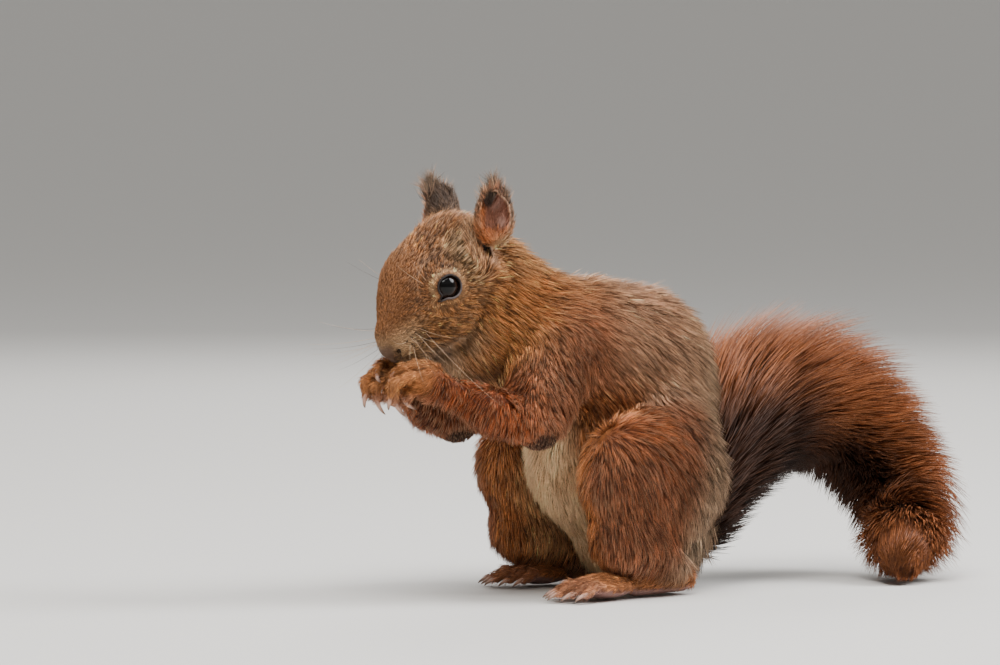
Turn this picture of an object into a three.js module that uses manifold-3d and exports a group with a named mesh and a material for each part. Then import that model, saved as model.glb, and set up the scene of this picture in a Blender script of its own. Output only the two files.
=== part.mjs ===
// A Eurasian red squirrel at life size, sitting on its haunches with both forepaws at its mouth and the
// tail arched behind it. Millimetres, +Z up. It faces -X and its left side is -Y. The floor is z = 0.
//
// Every body part is one closed solid. Its form is given by a field: a distance to a few blended balls
// and limbs, negative inside. A grid is laid on that field, so a part has as many faces as it needs.
import * as THREE from 'three';
import { mergeVertices } from 'three/addons/utils/BufferGeometryUtils.js';
import Module from 'manifold-3d';

const wasm = await Module();
wasm.setup();

// ---------------------------------------------------------------- driving dimensions
const GAP = 0.3; // between two parts that touch
const SPARE = 9; // how far a part runs past a plane before it is cut there

const WAIST_AT = [-14, 0, 76]; // where the rear and the front of the torso part
const WAIST_FACING = [-0.62, 0, 0.78];
const NECK_AT = [-53, 0, 98]; // where the neck leaves the torso
const NECK_FACING = [-0.9, 0, 0.43];
const HEAD_AT = [-67.5, 0, 106]; // where the head leaves the neck
const HEAD_FACING = [-0.9, 0, 0.42];

const SKULL = [-82.5, 0, 112.5]; // middle of the braincase
const HEAD_PITCH = THREE.MathUtils.degToRad(43); // nose below the ear line
// Ahead of, beside and above the middle of the skull, as every place on the head is given.
const EYE = { place: [9.8, 11.5, 3], radius: 5.3 };
const LIDS = { opening: [4.9, 4.2], corner: [6.9, 0.5], from: 0.1, to: 4.85 }; // an oval with a corner
const MOUTH = { middle: [24, 0, -3], turn: 106, front: -28, corner: -37, width: 0.75 }; // angles in degrees
const NOSTRIL = { middle: [31.5, 0, -5], turn: 58, raise: 10, radius: 0.95 }; // angles in degrees
const EAR = { root: [-73.5, 13.5, 119], middle: [-73.6, 16, 129], tip: [-75.3, 19, 143], thick: 1.2 };

// The pencil of hair behind the ear's tip: how far its locks spread across and how much lower they root.
const TUFT = { count: 4, long: 9, drop: 7, spread: 12, wide: 2.2, thick: 0.8 };

const LEG = {
  knee: [-28, 31, 45],
  shin: [-27.5, 30, 22],
  ankle: [-8, 27, 11],
  fold: [-27, 30, 30],
};
const FOOT = { heel: [0, 25.5, 6], instep: [-20, 27.5, 5.6], ball: [-35, 29, 4.4] };
const STEP = { left: -2, right: 13 }; // how far back each hind foot stands
const ARM = {
  shoulder: [-47, 13, 84],
  humerus: [-57, 20, 69],
  elbow: [-61.5, 25, 60],
  fold: [-63.5, 24.5, 61],
  radius: [-77, 18.5, 66.5],
  wrist: [-93, 11, 75],
};
const PALM = { middle: [-97.5, 8.6, 77.4], radii: [6.4, 4.2, 4.6], heel: [-95.4, 8, 72.6], heelRadius: 3.8 };
// Root, knuckle, bend, end and claw tip of each finger, from the first to the last.
const FINGERS = [
  [[-97, 9, 80.6], [-101.5, 9.4, 81.2], [-105.5, 7.8, 80.4], [-108, 5.4, 78.2], [-108.6, 3.4, 75.2]],
  [[-98, 10.5, 78.4], [-105.2, 10.8, 77.8], [-111, 9.6, 75.4], [-110.8, 8.5, 71], [-112.4, 8, 66.4]],
  [[-98, 6, 78.3], [-105.5, 5.4, 77.3], [-109, 5.6, 73.8], [-107.8, 6, 69.6], [-104, 6.4, 64]],
  [[-94.6, 8.5, 72.6], [-98.6, 8, 73], [-102, 7, 72.2], [-103.6, 6, 69.8], [-98.4, 5.5, 66.2]],
];

const TAIL_SPINE = [
  [22, 0, 20], [38, 1, 41], [60, 2, 57], [80, 0, 56], [96, -8, 42], [101, -20, 25], [92, -34, 15],
];
const TAIL_PARTS = [0, 0.27, 0.52, 0.77, 1]; // where its four lengths part, along the spine
// How far the tail's hair reaches from the spine, at even steps along it: behind the arch and inside it.
const TAIL_HAIR = {
  back: [37, 43, 44, 40, 34, 28, 24, 15],
  inside: [12, 18, 22, 22, 20, 18, 15, 10],
  side: 3, // more at its sides
};
const HAIR_LEAN = { most: 28, at: 44, bend: 1.4 }; // how far a hair as long as at leans, and how it bends
const TIP_LEAN = { from: 0.78, more: 1.2 }; // from there on hair leans up to this much more
const BRUSH = { from: 0.9, long: 20, count: 5, wide: 0.5 }; // locks that run on past the end of the tail
const CORE = { share: 0.45, past: 0.04 }; // its share of the hair's reach, and how far it runs past an end
const FLOOR_HAIR = 1.6; // where hair bends along the floor
const ROOM = { // between two lengths: half the gap, and the places of its rings
  gap: 0.7,
  sides: 20,
  outer: 66,
  steps: [0.1, 7, 14, 24, 36, 50, 66],
  between: [0.25, 0.5, 0.75],
  first: -0.3,
  last: 1.5,
};
const LOCK = {
  row: 8.4, // from one row to the next
  spacing: 14.8, // from one lock to the next, at half their reach
  thick: 1.7, // height of the ridge
  uneven: 0.2, // how much reach, turn, sway and place differ
  shape: [[0.2, 0.5, 1], [0.55, 1, 0.95], [0.86, 0.72, 0.6], [1, 0, 0]], // out, width, thickness
};

// ---------------------------------------------------------------- fields
const clamp01 = (t) => Math.min(1, Math.max(0, t));

/** A ball with three radii, turned nose-down by pitch about Y. */
function ball([cx, cy, cz], [rx, ry, rz], pitch = 0) {
  const cos = Math.cos(pitch);
  const sin = Math.sin(pitch);
  return (x, y, z) => {
    const dx = x - cx;
    const dz = z - cz;
    const ax = (dx * cos + dz * sin) / rx;
    const ay = (y - cy) / ry;
    const az = (dz * cos - dx * sin) / rz;
    const k = Math.hypot(ax, ay, az);
    const slope = Math.hypot(ax / rx, ay / ry, az / rz);
    return slope < 1e-9 ? -Math.min(rx, ry, rz) : (k * (k - 1)) / slope;
  };
}

/** A round limb that runs from a to b, with radius ra at a and rb at b. */
function limb([ax, ay, az], ra, [bx, by, bz], rb) {
  const [ux, uy, uz] = [bx - ax, by - ay, bz - az];
  const long = ux * ux + uy * uy + uz * uz;
  return (x, y, z) => {
    const t = clamp01(((x - ax) * ux + (y - ay) * uy + (z - az) * uz) / long);
    return Math.hypot(x - ax - t * ux, y - ay - t * uy, z - az - t * uz) - (ra + t * (rb - ra));
  };
}

/** Joins fields with a fillet about as wide as soft. */
function blend(soft, ...fields) {
  return (x, y, z) => fields.reduce((near, field) => {
    const far = field(x, y, z);
    const h = Math.max(soft - Math.abs(near - far), 0) / soft;
    return Math.min(near, far) - h * h * soft * 0.25;
  }, Infinity);
}

const both = (make) => [make(-1), make(1)];

/** Where a ray from a point inside first leaves a field, or the field grown by grow. */
function exit(field, from, way, grow = 0) {
  const at = (d) => field(from.x + d * way.x, from.y + d * way.y, from.z + d * way.z) - grow;
  let high = 0.5;
  while (at(high) < 0 && high < 120) high += 0.5;
  let low = high - 0.5;
  for (let i = 0; i < 22; i += 1) {
    const mid = (low + high) / 2;
    if (at(mid) < 0) low = mid; else high = mid;
  }
  return from.clone().addScaledVector(way, low);
}

// ---------------------------------------------------------------- grids laid on a field
/** Lays a closed grid on a field: rings across a spine, and a fan of rings round each of its ends. */
function wrap(field, spine, { rows, sides, caps = 3, grow = 0, spacing = (t) => t }) {
  const curve = new THREE.CatmullRomCurve3(spine.map((p) => new THREE.Vector3(...p)), false, 'centripetal');
  const points = [];
  const side = new THREE.Vector3();
  const up = new THREE.Vector3();
  const out = new THREE.Vector3();
  const surface = (from, way) => points.push(...exit(field, from, way, grow).toArray());
  const ring = (t, lean) => { // lean is the way's turn towards the tangent
    const from = curve.getPointAt(t);
    const along = curve.getTangentAt(t);
    side.set(0, 1, 0).addScaledVector(along, -along.y).normalize();
    up.crossVectors(along, side);
    for (let j = 0; j < sides; j += 1) {
      const turn = (2 * Math.PI * j) / sides;
      out.copy(side).multiplyScalar(Math.cos(turn)).addScaledVector(up, Math.sin(turn));
      out.multiplyScalar(Math.cos(lean)).addScaledVector(along, Math.sin(lean));
      surface(from, out);
    }
  };
  const pole = (t, sign) => surface(curve.getPointAt(t), curve.getTangentAt(t).multiplyScalar(sign));
  pole(0, -1);
  for (let i = 1; i < caps; i += 1) ring(0, -Math.PI / 2 + (Math.PI / 2) * (i / caps));
  for (let i = 0; i <= rows; i += 1) ring(spacing(i / rows), 0);
  for (let i = 1; i < caps; i += 1) ring(1, (Math.PI / 2) * (i / caps));
  pole(1, 1);
  return closedGrid(points, rows + 2 * caps - 1, sides);
}

/** A closed surface of rings of points, with one point before the first ring and one after the last. */
function closedGrid(points, rings, sides) {
  const faces = [];
  const last = points.length / 3 - 1;
  const at = (i, j) => 1 + i * sides + (j % sides);
  for (let j = 0; j < sides; j += 1) {
    faces.push(0, at(0, j), at(0, j + 1));
    faces.push(last, at(rings - 1, j + 1), at(rings - 1, j));
    for (let i = 0; i + 1 < rings; i += 1) {
      faces.push(at(i, j), at(i + 1, j), at(i + 1, j + 1));
      faces.push(at(i, j), at(i + 1, j + 1), at(i, j + 1));
    }
  }
  const geometry = new THREE.BufferGeometry();
  geometry.setAttribute('position', new THREE.Float32BufferAttribute(points, 3));
  geometry.setIndex(faces);
  return geometry;
}

/** A closed tapered strip along stations, each with its place, side, half width and half height. */
function sweep(stations, sides) {
  const spots = stations.map(({ at }) => new THREE.Vector3(...at));
  const last = spots.length - 1;
  const points = [...spots[0].toArray()];
  for (let i = 0; i < last; i += 1) {
    const side = new THREE.Vector3(...stations[i].side).normalize();
    const along = spots[i + 1].clone().sub(spots[Math.max(0, i - 1)]).normalize();
    const up = new THREE.Vector3().crossVectors(along, side).normalize();
    for (let j = 0; j < sides; j += 1) {
      const turn = Math.PI / 2 + (2 * Math.PI * j) / sides;
      points.push(...spots[i].clone()
        .addScaledVector(side, stations[i].wide * Math.cos(turn))
        .addScaledVector(up, stations[i].high * Math.sin(turn)).toArray());
    }
  }
  points.push(...spots[last].toArray());
  return closedGrid(points, last, sides);
}

/** A repeatable row of numbers from 0 to 1. */
function seeded(seed) {
  let state = seed;
  return () => {
    state = (state + 0x6d2b79f5) | 0;
    let t = Math.imul(state ^ (state >>> 15), 1 | state);
    t = (t + Math.imul(t ^ (t >>> 7), 61 | t)) ^ t;
    return ((t ^ (t >>> 14)) >>> 0) / 4294967296;
  };
}

// ---------------------------------------------------------------- solids
/** Turns a closed three.js geometry into a solid that can be cut and joined. */
function solid(geometry) {
  const bare = geometry.clone();
  bare.deleteAttribute('normal');
  bare.deleteAttribute('uv');
  const merged = mergeVertices(bare, 1e-4);
  const made = new wasm.Manifold(new wasm.Mesh({
    numProp: 3,
    vertProperties: new Float32Array(merged.attributes.position.array),
    triVerts: new Uint32Array(merged.index.array),
  }));
  if (made.volume() > 0) return made;
  const index = Array.from(merged.index.array);
  for (let i = 0; i < index.length; i += 3) [index[i], index[i + 1]] = [index[i + 1], index[i]];
  return new wasm.Manifold(new wasm.Mesh({
    numProp: 3,
    vertProperties: new Float32Array(merged.attributes.position.array),
    triVerts: new Uint32Array(index),
  }));
}

/** The largest closed surface of a solid, as a three.js geometry. */
function largest(shape) {
  const pieces = shape.decompose().sort((a, b) => b.volume() - a.volume());
  return pieces[0];
}

function geometryOf(shape) {
  const mesh = shape.getMesh();
  const geometry = new THREE.BufferGeometry();
  geometry.setAttribute('position', new THREE.BufferAttribute(new Float32Array(mesh.vertProperties), 3));
  geometry.setIndex(new THREE.BufferAttribute(new Uint32Array(mesh.triVerts), 1));
  geometry.computeVertexNormals();
  return geometry;
}

const dot = (a, b) => a[0] * b[0] + a[1] * b[1] + a[2] * b[2];
const unit = (v) => v.map((c) => c / Math.hypot(...v));

const reverse = (v) => v.map((c) => -c);

/** What lies beyond a plane through a point, half a gap clear of it. */
const beyond = (shape, point, facing) => shape.trimByPlane(unit(facing), dot(unit(facing), point) + GAP / 2);
const before = (shape, point, facing) => beyond(shape, point, reverse(facing));

// ---------------------------------------------------------------- the head's own frame
const pitchCos = Math.cos(HEAD_PITCH);
const pitchSin = Math.sin(HEAD_PITCH);

/** A point given ahead of, beside and above the middle of the skull, along the pitched head. */
function headPoint(forward, side, up) {
  return [SKULL[0] - forward * pitchCos - up * pitchSin, side, SKULL[2] - forward * pitchSin + up * pitchCos];
}
const headBall = (at, radii) => ball(headPoint(...at), radii, HEAD_PITCH);
const headLimb = (a, ra, b, rb) => limb(headPoint(...a), ra, headPoint(...b), rb);

/** Puts a geometry made in x forward, y up and z sideways into the head's frame. */
function onHead(geometry, at) {
  const forward = new THREE.Vector3(-pitchCos, 0, -pitchSin);
  const up = new THREE.Vector3(-pitchSin, 0, pitchCos);
  const turn = new THREE.Matrix4().makeBasis(forward, up, new THREE.Vector3(0, 1, 0));
  return geometry.applyMatrix4(turn.setPosition(...headPoint(...at)));
}

// ---------------------------------------------------------------- the body's fields
const skullField = blend(5,
  headBall([-3, 0, 1.5], [19, 16.6, 17]), // braincase
  headBall([9.5, 0, 5.5], [15, 14.4, 13]), // forehead
  headBall([19, 0, 2.5], [10, 10.4, 9.4]), // bridge of the nose
  headLimb([14, 0, 0.5], 11, [29, 0, -1.4], 7.6), // muzzle
  ...both((s) => headBall([9, s * 8.2, -6.6], [13.5, 8.6, 9.2])), // cheeks
  headBall([13, 0, -10], [14, 9.5, 7.5])); // jaw
const faceField = blend(1.6,
  skullField,
  ...both((s) => headBall([28.4, s * 4.2, -3.8], [7, 4.7, 4.8])), // whisker pads
  headBall([35, 0, -2.6], [3.3, 3.6, 4]), // nose
  headBall([24.5, 0, -10.4], [7, 4.8, 4]), // chin
  ...both((s) => headLimb([35, 0, -6.4], 1.9, [24, s * 6.4, -7.6], 1.6)), // upper lip
  ...both((s) => headLimb([31.6, 0, -9.6], 1.3, [24, s * 5.6, -10.2], 1.5)), // lower lip
  ...both((s) => headBall([EYE.place[0], s * EYE.place[1], EYE.place[2]], [6.6, 6, 6.4]))); // lids

const trunkField = blend(9,
  ball([0, 0, 30], [28, 26, 30]), // rump
  ball([-3, 0, 71], [30.5, 27, 36]), // loin
  ball([-20, 0, 48], [25, 23, 28]), // belly
  ball([-25, 0, 84], [29, 25, 27]), // ribs
  ball([-45, 0, 88], [22, 23, 22]), // shoulders
  ball([-66, 0, 90], [13, 13, 15]), // throat
  limb([-66, 0, 91], 12.5, [-76.5, 0, 83.5], 9.8), // fur below the chin
  limb([-50, 0, 95], 20, [-66, 0, 110], 17)); // neck
const bodyField = blend(6, trunkField, faceField);

/** The body's field inside planes that lie a little past these, each a point and the way out through it. */
function stretch(...planes) {
  const ends = planes.map(([point, out]) => [unit(out), dot(unit(out), point) + SPARE]);
  return (x, y, z) => {
    const past = ends.map(([out, far]) => dot(out, [x, y, z]) - far);
    return Math.max(bodyField(x, y, z), ...past);
  };
}

// ---------------------------------------------------------------- putting parts in place
const looks = {
  russet: { color: 0x8a4a26, roughness: 0.9 },
  grey: { color: 0x7a5a44, roughness: 0.9 },
  skin: { color: 0x8d6f66, roughness: 0.7 },
  black: { color: 0x0c0908, roughness: 0.1 },
};
const finishes = Object.fromEntries(Object.entries(looks).map(([name, look]) => [
  name, new THREE.MeshStandardMaterial({ ...look, metalness: 0 })]));

const group = new THREE.Group();
const placed = []; // the room that each part in place keeps to itself
const crosses = (a, b) => [0, 1, 2].every((i) => a.min[i] < b.max[i] && b.min[i] < a.max[i]);

/** Adds a part, cut clear of those in place and of the floor. make(grow) gives it, grown by grow. */
function place(name, finish, make, keepsRoom = true) {
  let shape = make(0);
  for (const room of placed) {
    if (crosses(shape.boundingBox(), room.boundingBox())) shape = shape.subtract(room);
  }
  if (keepsRoom) placed.push(make(GAP));
  const mesh = new THREE.Mesh(geometryOf(largest(shape.trimByPlane([0, 0, 1], 0))), finishes[finish]);
  mesh.name = name;
  group.add(mesh);
}

/** Adds a part of the left side (-Y) and one of the right. make(grow, name) gives the right one. */
function placePair(name, finish, make) {
  place(`${name}_left`, finish, (grow) => make(grow, 'left').mirror([0, 1, 0]));
  place(`${name}_right`, finish, (grow) => make(grow, 'right'));
}

// ---------------------------------------------------------------- eyes
function eyeBall(grow) {
  const geometry = new THREE.SphereGeometry(EYE.radius + grow, 12, 8);
  return solid(geometry.rotateX(Math.PI / 2).translate(...headPoint(...EYE.place)));
}
placePair('eye', 'black', eyeBall);

// ---------------------------------------------------------------- head, neck and torso
/** The almond between the lids, cut outwards from the middle of the eye. */
function lidOpening() {
  const almond = new THREE.Shape();
  almond.moveTo(...LIDS.corner);
  almond.absellipse(0, 0, ...LIDS.opening, LIDS.from, LIDS.to, false, HEAD_PITCH);
  almond.closePath();
  const cut = new THREE.ExtrudeGeometry(almond, { depth: 10, bevelEnabled: false, curveSegments: 10 });
  return solid(onHead(cut, EYE.place));
}

/** The face's surface in a direction turned sideways and raised, in degrees, from a point in the head. */
function onFace(middle, turned, raised) {
  const turn = THREE.MathUtils.degToRad(turned);
  const raise = THREE.MathUtils.degToRad(raised);
  const from = new THREE.Vector3(...headPoint(...middle));
  const way = new THREE.Vector3(...headPoint(
    middle[0] + Math.cos(turn) * Math.cos(raise), middle[1] + Math.sin(turn) * Math.cos(raise),
    middle[2] + Math.sin(raise))).sub(from);
  return exit(bodyField, from, way);
}

/** The line between the lips, from one corner round the front to the other. */
function mouthLine() {
  const stations = [];
  for (let t = -1; t <= 1.001; t += 0.125) {
    stations.push(onFace(MOUTH.middle, MOUTH.turn * t, MOUTH.front + (MOUTH.corner - MOUTH.front) * t * t));
  }
  const slit = new THREE.Shape();
  slit.absellipse(0, 0, MOUTH.width, MOUTH.width, 0, 2 * Math.PI);
  const extrudePath = new THREE.CatmullRomCurve3(stations);
  return solid(new THREE.ExtrudeGeometry(slit, { steps: 16, extrudePath, curveSegments: 2 }));
}

function head(grow) {
  const spine = [[-66, 0, 113], [-76, 0, 114.5], [-86, 0, 109], [-94, 0, 100.5], headPoint(28, 0, -3.6)];
  const spacing = (t) => t * (1.3 - 0.3 * t); // closer towards the muzzle
  const field = stretch([HEAD_AT, reverse(HEAD_FACING)]);
  const skull = solid(wrap(field, spine, { rows: 15, sides: 28, caps: 5, grow, spacing }));
  let shape = beyond(skull, HEAD_AT, HEAD_FACING);
  if (grow > 0) return shape;
  const nostril = new THREE.SphereGeometry(NOSTRIL.radius, 6, 5);
  nostril.translate(...onFace(NOSTRIL.middle, NOSTRIL.turn, NOSTRIL.raise).toArray());
  for (const cut of [solid(nostril), lidOpening()]) {
    shape = shape.subtract(cut).subtract(cut.mirror([0, 1, 0]));
  }
  return shape.subtract(mouthLine());
}

function neck(grow) {
  const field = stretch([NECK_AT, reverse(NECK_FACING)], [HEAD_AT, HEAD_FACING]);
  const shape = solid(wrap(field, [NECK_AT, HEAD_AT], { rows: 4, sides: 22, caps: 2, grow }));
  return before(beyond(shape, NECK_AT, NECK_FACING), HEAD_AT, HEAD_FACING);
}
function chest(grow) {
  const field = stretch([WAIST_AT, reverse(WAIST_FACING)], [NECK_AT, NECK_FACING]);
  const spine = [[-18, 0, 80], [-38, 0, 91], NECK_AT];
  const shape = solid(wrap(field, spine, { rows: 7, sides: 22, caps: 3, grow }));
  return before(beyond(shape, WAIST_AT, WAIST_FACING), NECK_AT, NECK_FACING);
}
function rump(grow) {
  const field = stretch([WAIST_AT, WAIST_FACING]);
  const spine = [[2, 0, 26], [-1, 0, 50], [-8, 0, 68]];
  return before(solid(wrap(field, spine, { rows: 8, sides: 18, caps: 4, grow })), WAIST_AT, WAIST_FACING);
}
place('head', 'russet', head);
place('neck', 'russet', neck);
place('chest', 'russet', chest);
place('rump', 'grey', rump);

// ---------------------------------------------------------------- ears
/** A pointed leaf, hollowed from its outer and front side, with a pencil of hair behind its tip. */
function ear(grow) {
  const leaf = (thin) => blend(3, ball(EAR.middle, [7 - thin, 5.2 - thin, 10.5 - thin]),
    limb([-74.4, 17.4, 135], 4.4 - thin, EAR.tip, 1.5 - thin * 0.8));
  const spine = [EAR.root, EAR.middle, [-75, 18.3, 140]];
  const shell = solid(wrap(leaf(0), spine, { rows: 5, sides: 10, caps: 2, grow }));
  if (grow > 0) return shell;
  const hollow = solid(wrap(leaf(EAR.thick), spine, { rows: 3, sides: 8, caps: 2 }));
  let shape = shell.subtract(hollow.translate([-1.6, 2.6, 1.2]));
  const random = seeded(5);
  for (let i = 0; i < TUFT.count; i += 1) {
    const across = (i - (TUFT.count - 1) / 2) / TUFT.count;
    const low = TUFT.drop * (0.2 + 0.8 * Math.abs(across) * 2) + 2 * random();
    const long = TUFT.long * (0.8 + 0.3 * random()) + low * 0.6;
    const lock = [[0, 0.7, 1], [0.4, 1, 0.9], [0.75, 0.6, 0.6], [1, 0, 0]].map(([share, wide, thick]) => ({
      at: [
        EAR.tip[0] + 0.6 + across * (TUFT.spread - 3 * share) + 1.2 * share * share,
        EAR.tip[1] - 2.2 + 0.9 * share,
        EAR.tip[2] - 1.5 - low + long * share,
      ],
      side: [1, 0.35, 0],
      wide: TUFT.wide * wide,
      high: TUFT.thick * thick,
    }));
    shape = shape.add(solid(sweep(lock, 4)));
  }
  return shape;
}
placePair('ear', 'grey', ear);

// ---------------------------------------------------------------- hind legs
const legField = blend(8,
  ball([-6, 24.5, 41], [30, 15, 26], 0.15), // haunch
  ball(LEG.knee, [18, 14, 18.5]),
  limb([-27.5, 29.5, 38], 15, LEG.shin, 12),
  limb(LEG.shin, 12, LEG.ankle, 8.5));
const SHIN_FACING = [-0.45, 0, -0.89];

function thigh(grow) {
  const spine = [[8, 22, 36], [-8, 24, 42], [-27, 28.5, 44]];
  return before(solid(wrap(legField, spine, { rows: 6, sides: 14, caps: 3, grow })), LEG.fold, SHIN_FACING);
}
function shin(grow) {
  const spine = [[-27.5, 30, 40], LEG.shin, LEG.ankle];
  return beyond(solid(wrap(legField, spine, { rows: 7, sides: 14, grow })), LEG.fold, SHIN_FACING);
}

/** A toe or finger through its joints, with a hooked claw from its end to tip. */
function digit(joints, tip, [thick, thin], grow) {
  const last = joints.length - 1;
  const radius = (i) => thick + ((thin - thick) * i) / last;
  const bones = joints.slice(1).map((joint, i) => limb(joints[i], radius(i), joint, radius(i + 1)));
  const grid = { rows: last, sides: 5, caps: 1, grow };
  const finger = solid(wrap(blend(1.2, ...bones), joints, grid));
  const end = joints[last];
  const way = tip.map((value, axis) => value - end[axis]);
  const bow = Math.hypot(...way) / 2;
  const hook = [0, 0.5, 1].map((t) => ({
    at: [end[0] + way[0] * t, end[1] + way[1] * t, end[2] + way[2] * t + bow * t * (1 - t)],
    wide: 0.6 * thin * (1 - t * 0.5) + grow,
    high: 0.8 * thin * (1 - t * 0.5) + grow,
    side: [way[1], -way[0], 0],
  }));
  return finger.add(solid(sweep(hook, 4)));
}

function foot(grow, name) {
  const field = blend(4, limb(FOOT.heel, 6.3, FOOT.instep, 6.4), ball(FOOT.ball, [13, 8.6, 5]));
  const sole = solid(wrap(field, [FOOT.heel, FOOT.instep, FOOT.ball], { rows: 4, sides: 9, caps: 2, grow }));
  const toes = [-2, -1, 0, 1, 2].map((k) => {
    const back = Math.abs(k) * (k < 0 ? 2.6 : 2.2);
    const root = [-41 + back, 29 + k * 3.4, 4.4];
    const knuckle = [-48.5 + back, 29.3 + k * 4.1, 5.2];
    const end = [-54 + back, 29.6 + k * 4.7, 2.6];
    const tip = [-59.1 + back, 29.6 + k * 5, 1];
    return digit([root, knuckle, end], tip, [2.1, 1.8], grow);
  });
  return toes.reduce((all, toe) => all.add(toe), sole).translate([STEP[name], 0, 0]);
}
placePair('thigh', 'russet', thigh);
placePair('shin', 'russet', shin);
placePair('foot', 'russet', foot);

// ---------------------------------------------------------------- forelegs
const armField = blend(6,
  limb(ARM.shoulder, 15, ARM.humerus, 11.5),
  limb(ARM.humerus, 11.5, ARM.elbow, 8.6),
  limb(ARM.elbow, 8.8, ARM.radius, 7.4),
  limb(ARM.radius, 7.4, ARM.wrist, 4.6));
const ELBOW_FACING = [-0.94, 0.03, -0.33];

function upperArm(grow) {
  const arm = solid(wrap(armField, [ARM.shoulder, ARM.humerus, ARM.elbow], { rows: 6, sides: 12, grow }));
  return before(arm, ARM.fold, ELBOW_FACING);
}
function forearm(grow) {
  const arm = solid(wrap(armField, [ARM.elbow, ARM.radius, ARM.wrist], { rows: 7, sides: 12, grow }));
  return beyond(arm, ARM.fold, ELBOW_FACING);
}
function hand(grow) {
  const field = blend(3,
    ball(PALM.middle, PALM.radii, 0.2),
    limb(PALM.middle, PALM.heelRadius, PALM.heel, PALM.heelRadius));
  const palm = solid(wrap(field, [PALM.heel, PALM.middle], { rows: 3, sides: 8, caps: 2, grow }));
  const fingers = FINGERS.map((joints) => digit(joints.slice(0, -1), joints.at(-1), [1.9, 1.5], grow));
  return fingers.reduce((all, finger) => all.add(finger), palm);
}
placePair('upper_arm', 'russet', upperArm);
placePair('forearm', 'russet', forearm);
placePair('hand', 'skin', hand);

// ---------------------------------------------------------------- tail
const tailPoints = TAIL_SPINE.map((p) => new THREE.Vector3(...p));
const tailCurve = new THREE.CatmullRomCurve3(tailPoints, false, 'centripetal');
const tailLong = tailCurve.getLength();

/** A value read from an even table at t, from 0 to 1. */
function stepped(table, t) {
  const place = clamp01(t) * (table.length - 1);
  const from = Math.min(Math.floor(place), table.length - 2);
  return table[from] + (place - from) * (table[from + 1] - table[from]);
}

/** How far the hair reaches from the spine at t along it and turn round it, from the back of its arch. */
function hairReach(t, turn) {
  const [back, inside] = [stepped(TAIL_HAIR.back, t), stepped(TAIL_HAIR.inside, t)];
  return (back + inside + Math.cos(turn) * (back - inside)) / 2 + TAIL_HAIR.side * Math.sin(turn) ** 2;
}

/** A point at a distance out from the spine, at place along it and turn round it, also past its end. */
function tailPoint(place, turn, out) {
  const end = clamp01(place);
  const along = tailCurve.getTangentAt(end);
  const side = new THREE.Vector3(0, 1, 0).addScaledVector(along, -along.y).normalize();
  const back = new THREE.Vector3().crossVectors(along, side);
  const at = tailCurve.getPointAt(end).addScaledVector(along, (place - end) * tailLong);
  at.addScaledVector(back, out * Math.cos(turn)).addScaledVector(side, out * Math.sin(turn));
  const round = side.multiplyScalar(Math.cos(turn)).addScaledVector(back, -Math.sin(turn));
  return { at, round };
}

/** A point of the hair that roots at t, at a distance out from the spine. Hair leans towards the tip. */
function hairPoint(t, turn, out) {
  const more = 1 + TIP_LEAN.more * clamp01((t - TIP_LEAN.from) / (1 - TIP_LEAN.from));
  const lean = HAIR_LEAN.most * more * (out / HAIR_LEAN.at) ** HAIR_LEAN.bend;
  return tailPoint(t + lean / tailLong, turn, out);
}

/** Bends a hair that would go through the floor along it. */
function aboveFloor(at) {
  const low = at.z - 2 * FLOOR_HAIR;
  if (low < 0) at.z = FLOOR_HAIR * (0.5 + 1.5 * Math.exp(low / (1.5 * FLOOR_HAIR)));
  return at;
}

/** A flat lock with its middle line given by point(share), for shares of its length from 0 to 1. */
function lockAlong(point, wide) {
  const stations = LOCK.shape.map(([share, width, thick]) => {
    const { at, round } = point(share);
    const size = { wide: wide * width, high: LOCK.thick * thick };
    return { at: aboveFloor(at).toArray(), side: round.toArray(), ...size };
  });
  return solid(sweep(stations, 3));
}

/** A lock that roots at t along the tail and turn round it. */
function tailLock(t, turn, random) {
  const reach = hairReach(t, turn) * (1 + LOCK.uneven * (random() - 0.5));
  const sway = 1.5 * LOCK.uneven * (random() - 0.5);
  const wide = LOCK.spacing * (0.5 + 0.7 * LOCK.uneven * random());
  return lockAlong((share) => hairPoint(t, turn + sway * share * share, reach * share), wide);
}

/** The locks that run on past the end of the tail, close round its line. */
function brush(random) {
  return Array.from({ length: BRUSH.count + 1 }, (_, i) => {
    const turn = (2 * Math.PI * i) / BRUSH.count;
    const out = i < BRUSH.count ? BRUSH.wide * hairReach(1, turn) : 0;
    const long = BRUSH.long * (1 + LOCK.uneven * (random() - 0.5)) * (i < BRUSH.count ? 0.8 : 1);
    const reach = 1 + long / tailLong - BRUSH.from;
    const point = (share) => tailPoint(BRUSH.from + reach * share, turn, out * Math.sqrt(share));
    return lockAlong(point, LOCK.spacing / 3);
  });
}

/** The room between the hair surfaces that root at two places along the tail, which no hair crosses. */
function tailRoom(from, to) {
  const [low, high] = [from + ROOM.gap / tailLong, to - ROOM.gap / tailLong];
  const rings = [
    ...ROOM.steps.map((out) => [low, out]),
    ...ROOM.between.map((share) => [low + share * (high - low), ROOM.outer]),
    ...[...ROOM.steps].reverse().map((out) => [high, out]),
  ];
  const points = [...hairPoint(low, 0, 0).at.toArray()];
  for (const [t, out] of rings) {
    for (let j = 0; j < ROOM.sides; j += 1) {
      points.push(...hairPoint(t, (2 * Math.PI * j) / ROOM.sides, out).at.toArray());
    }
  }
  points.push(...hairPoint(high, 0, 0).at.toArray());
  return solid(closedGrid(points, rings.length, ROOM.sides));
}

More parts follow.
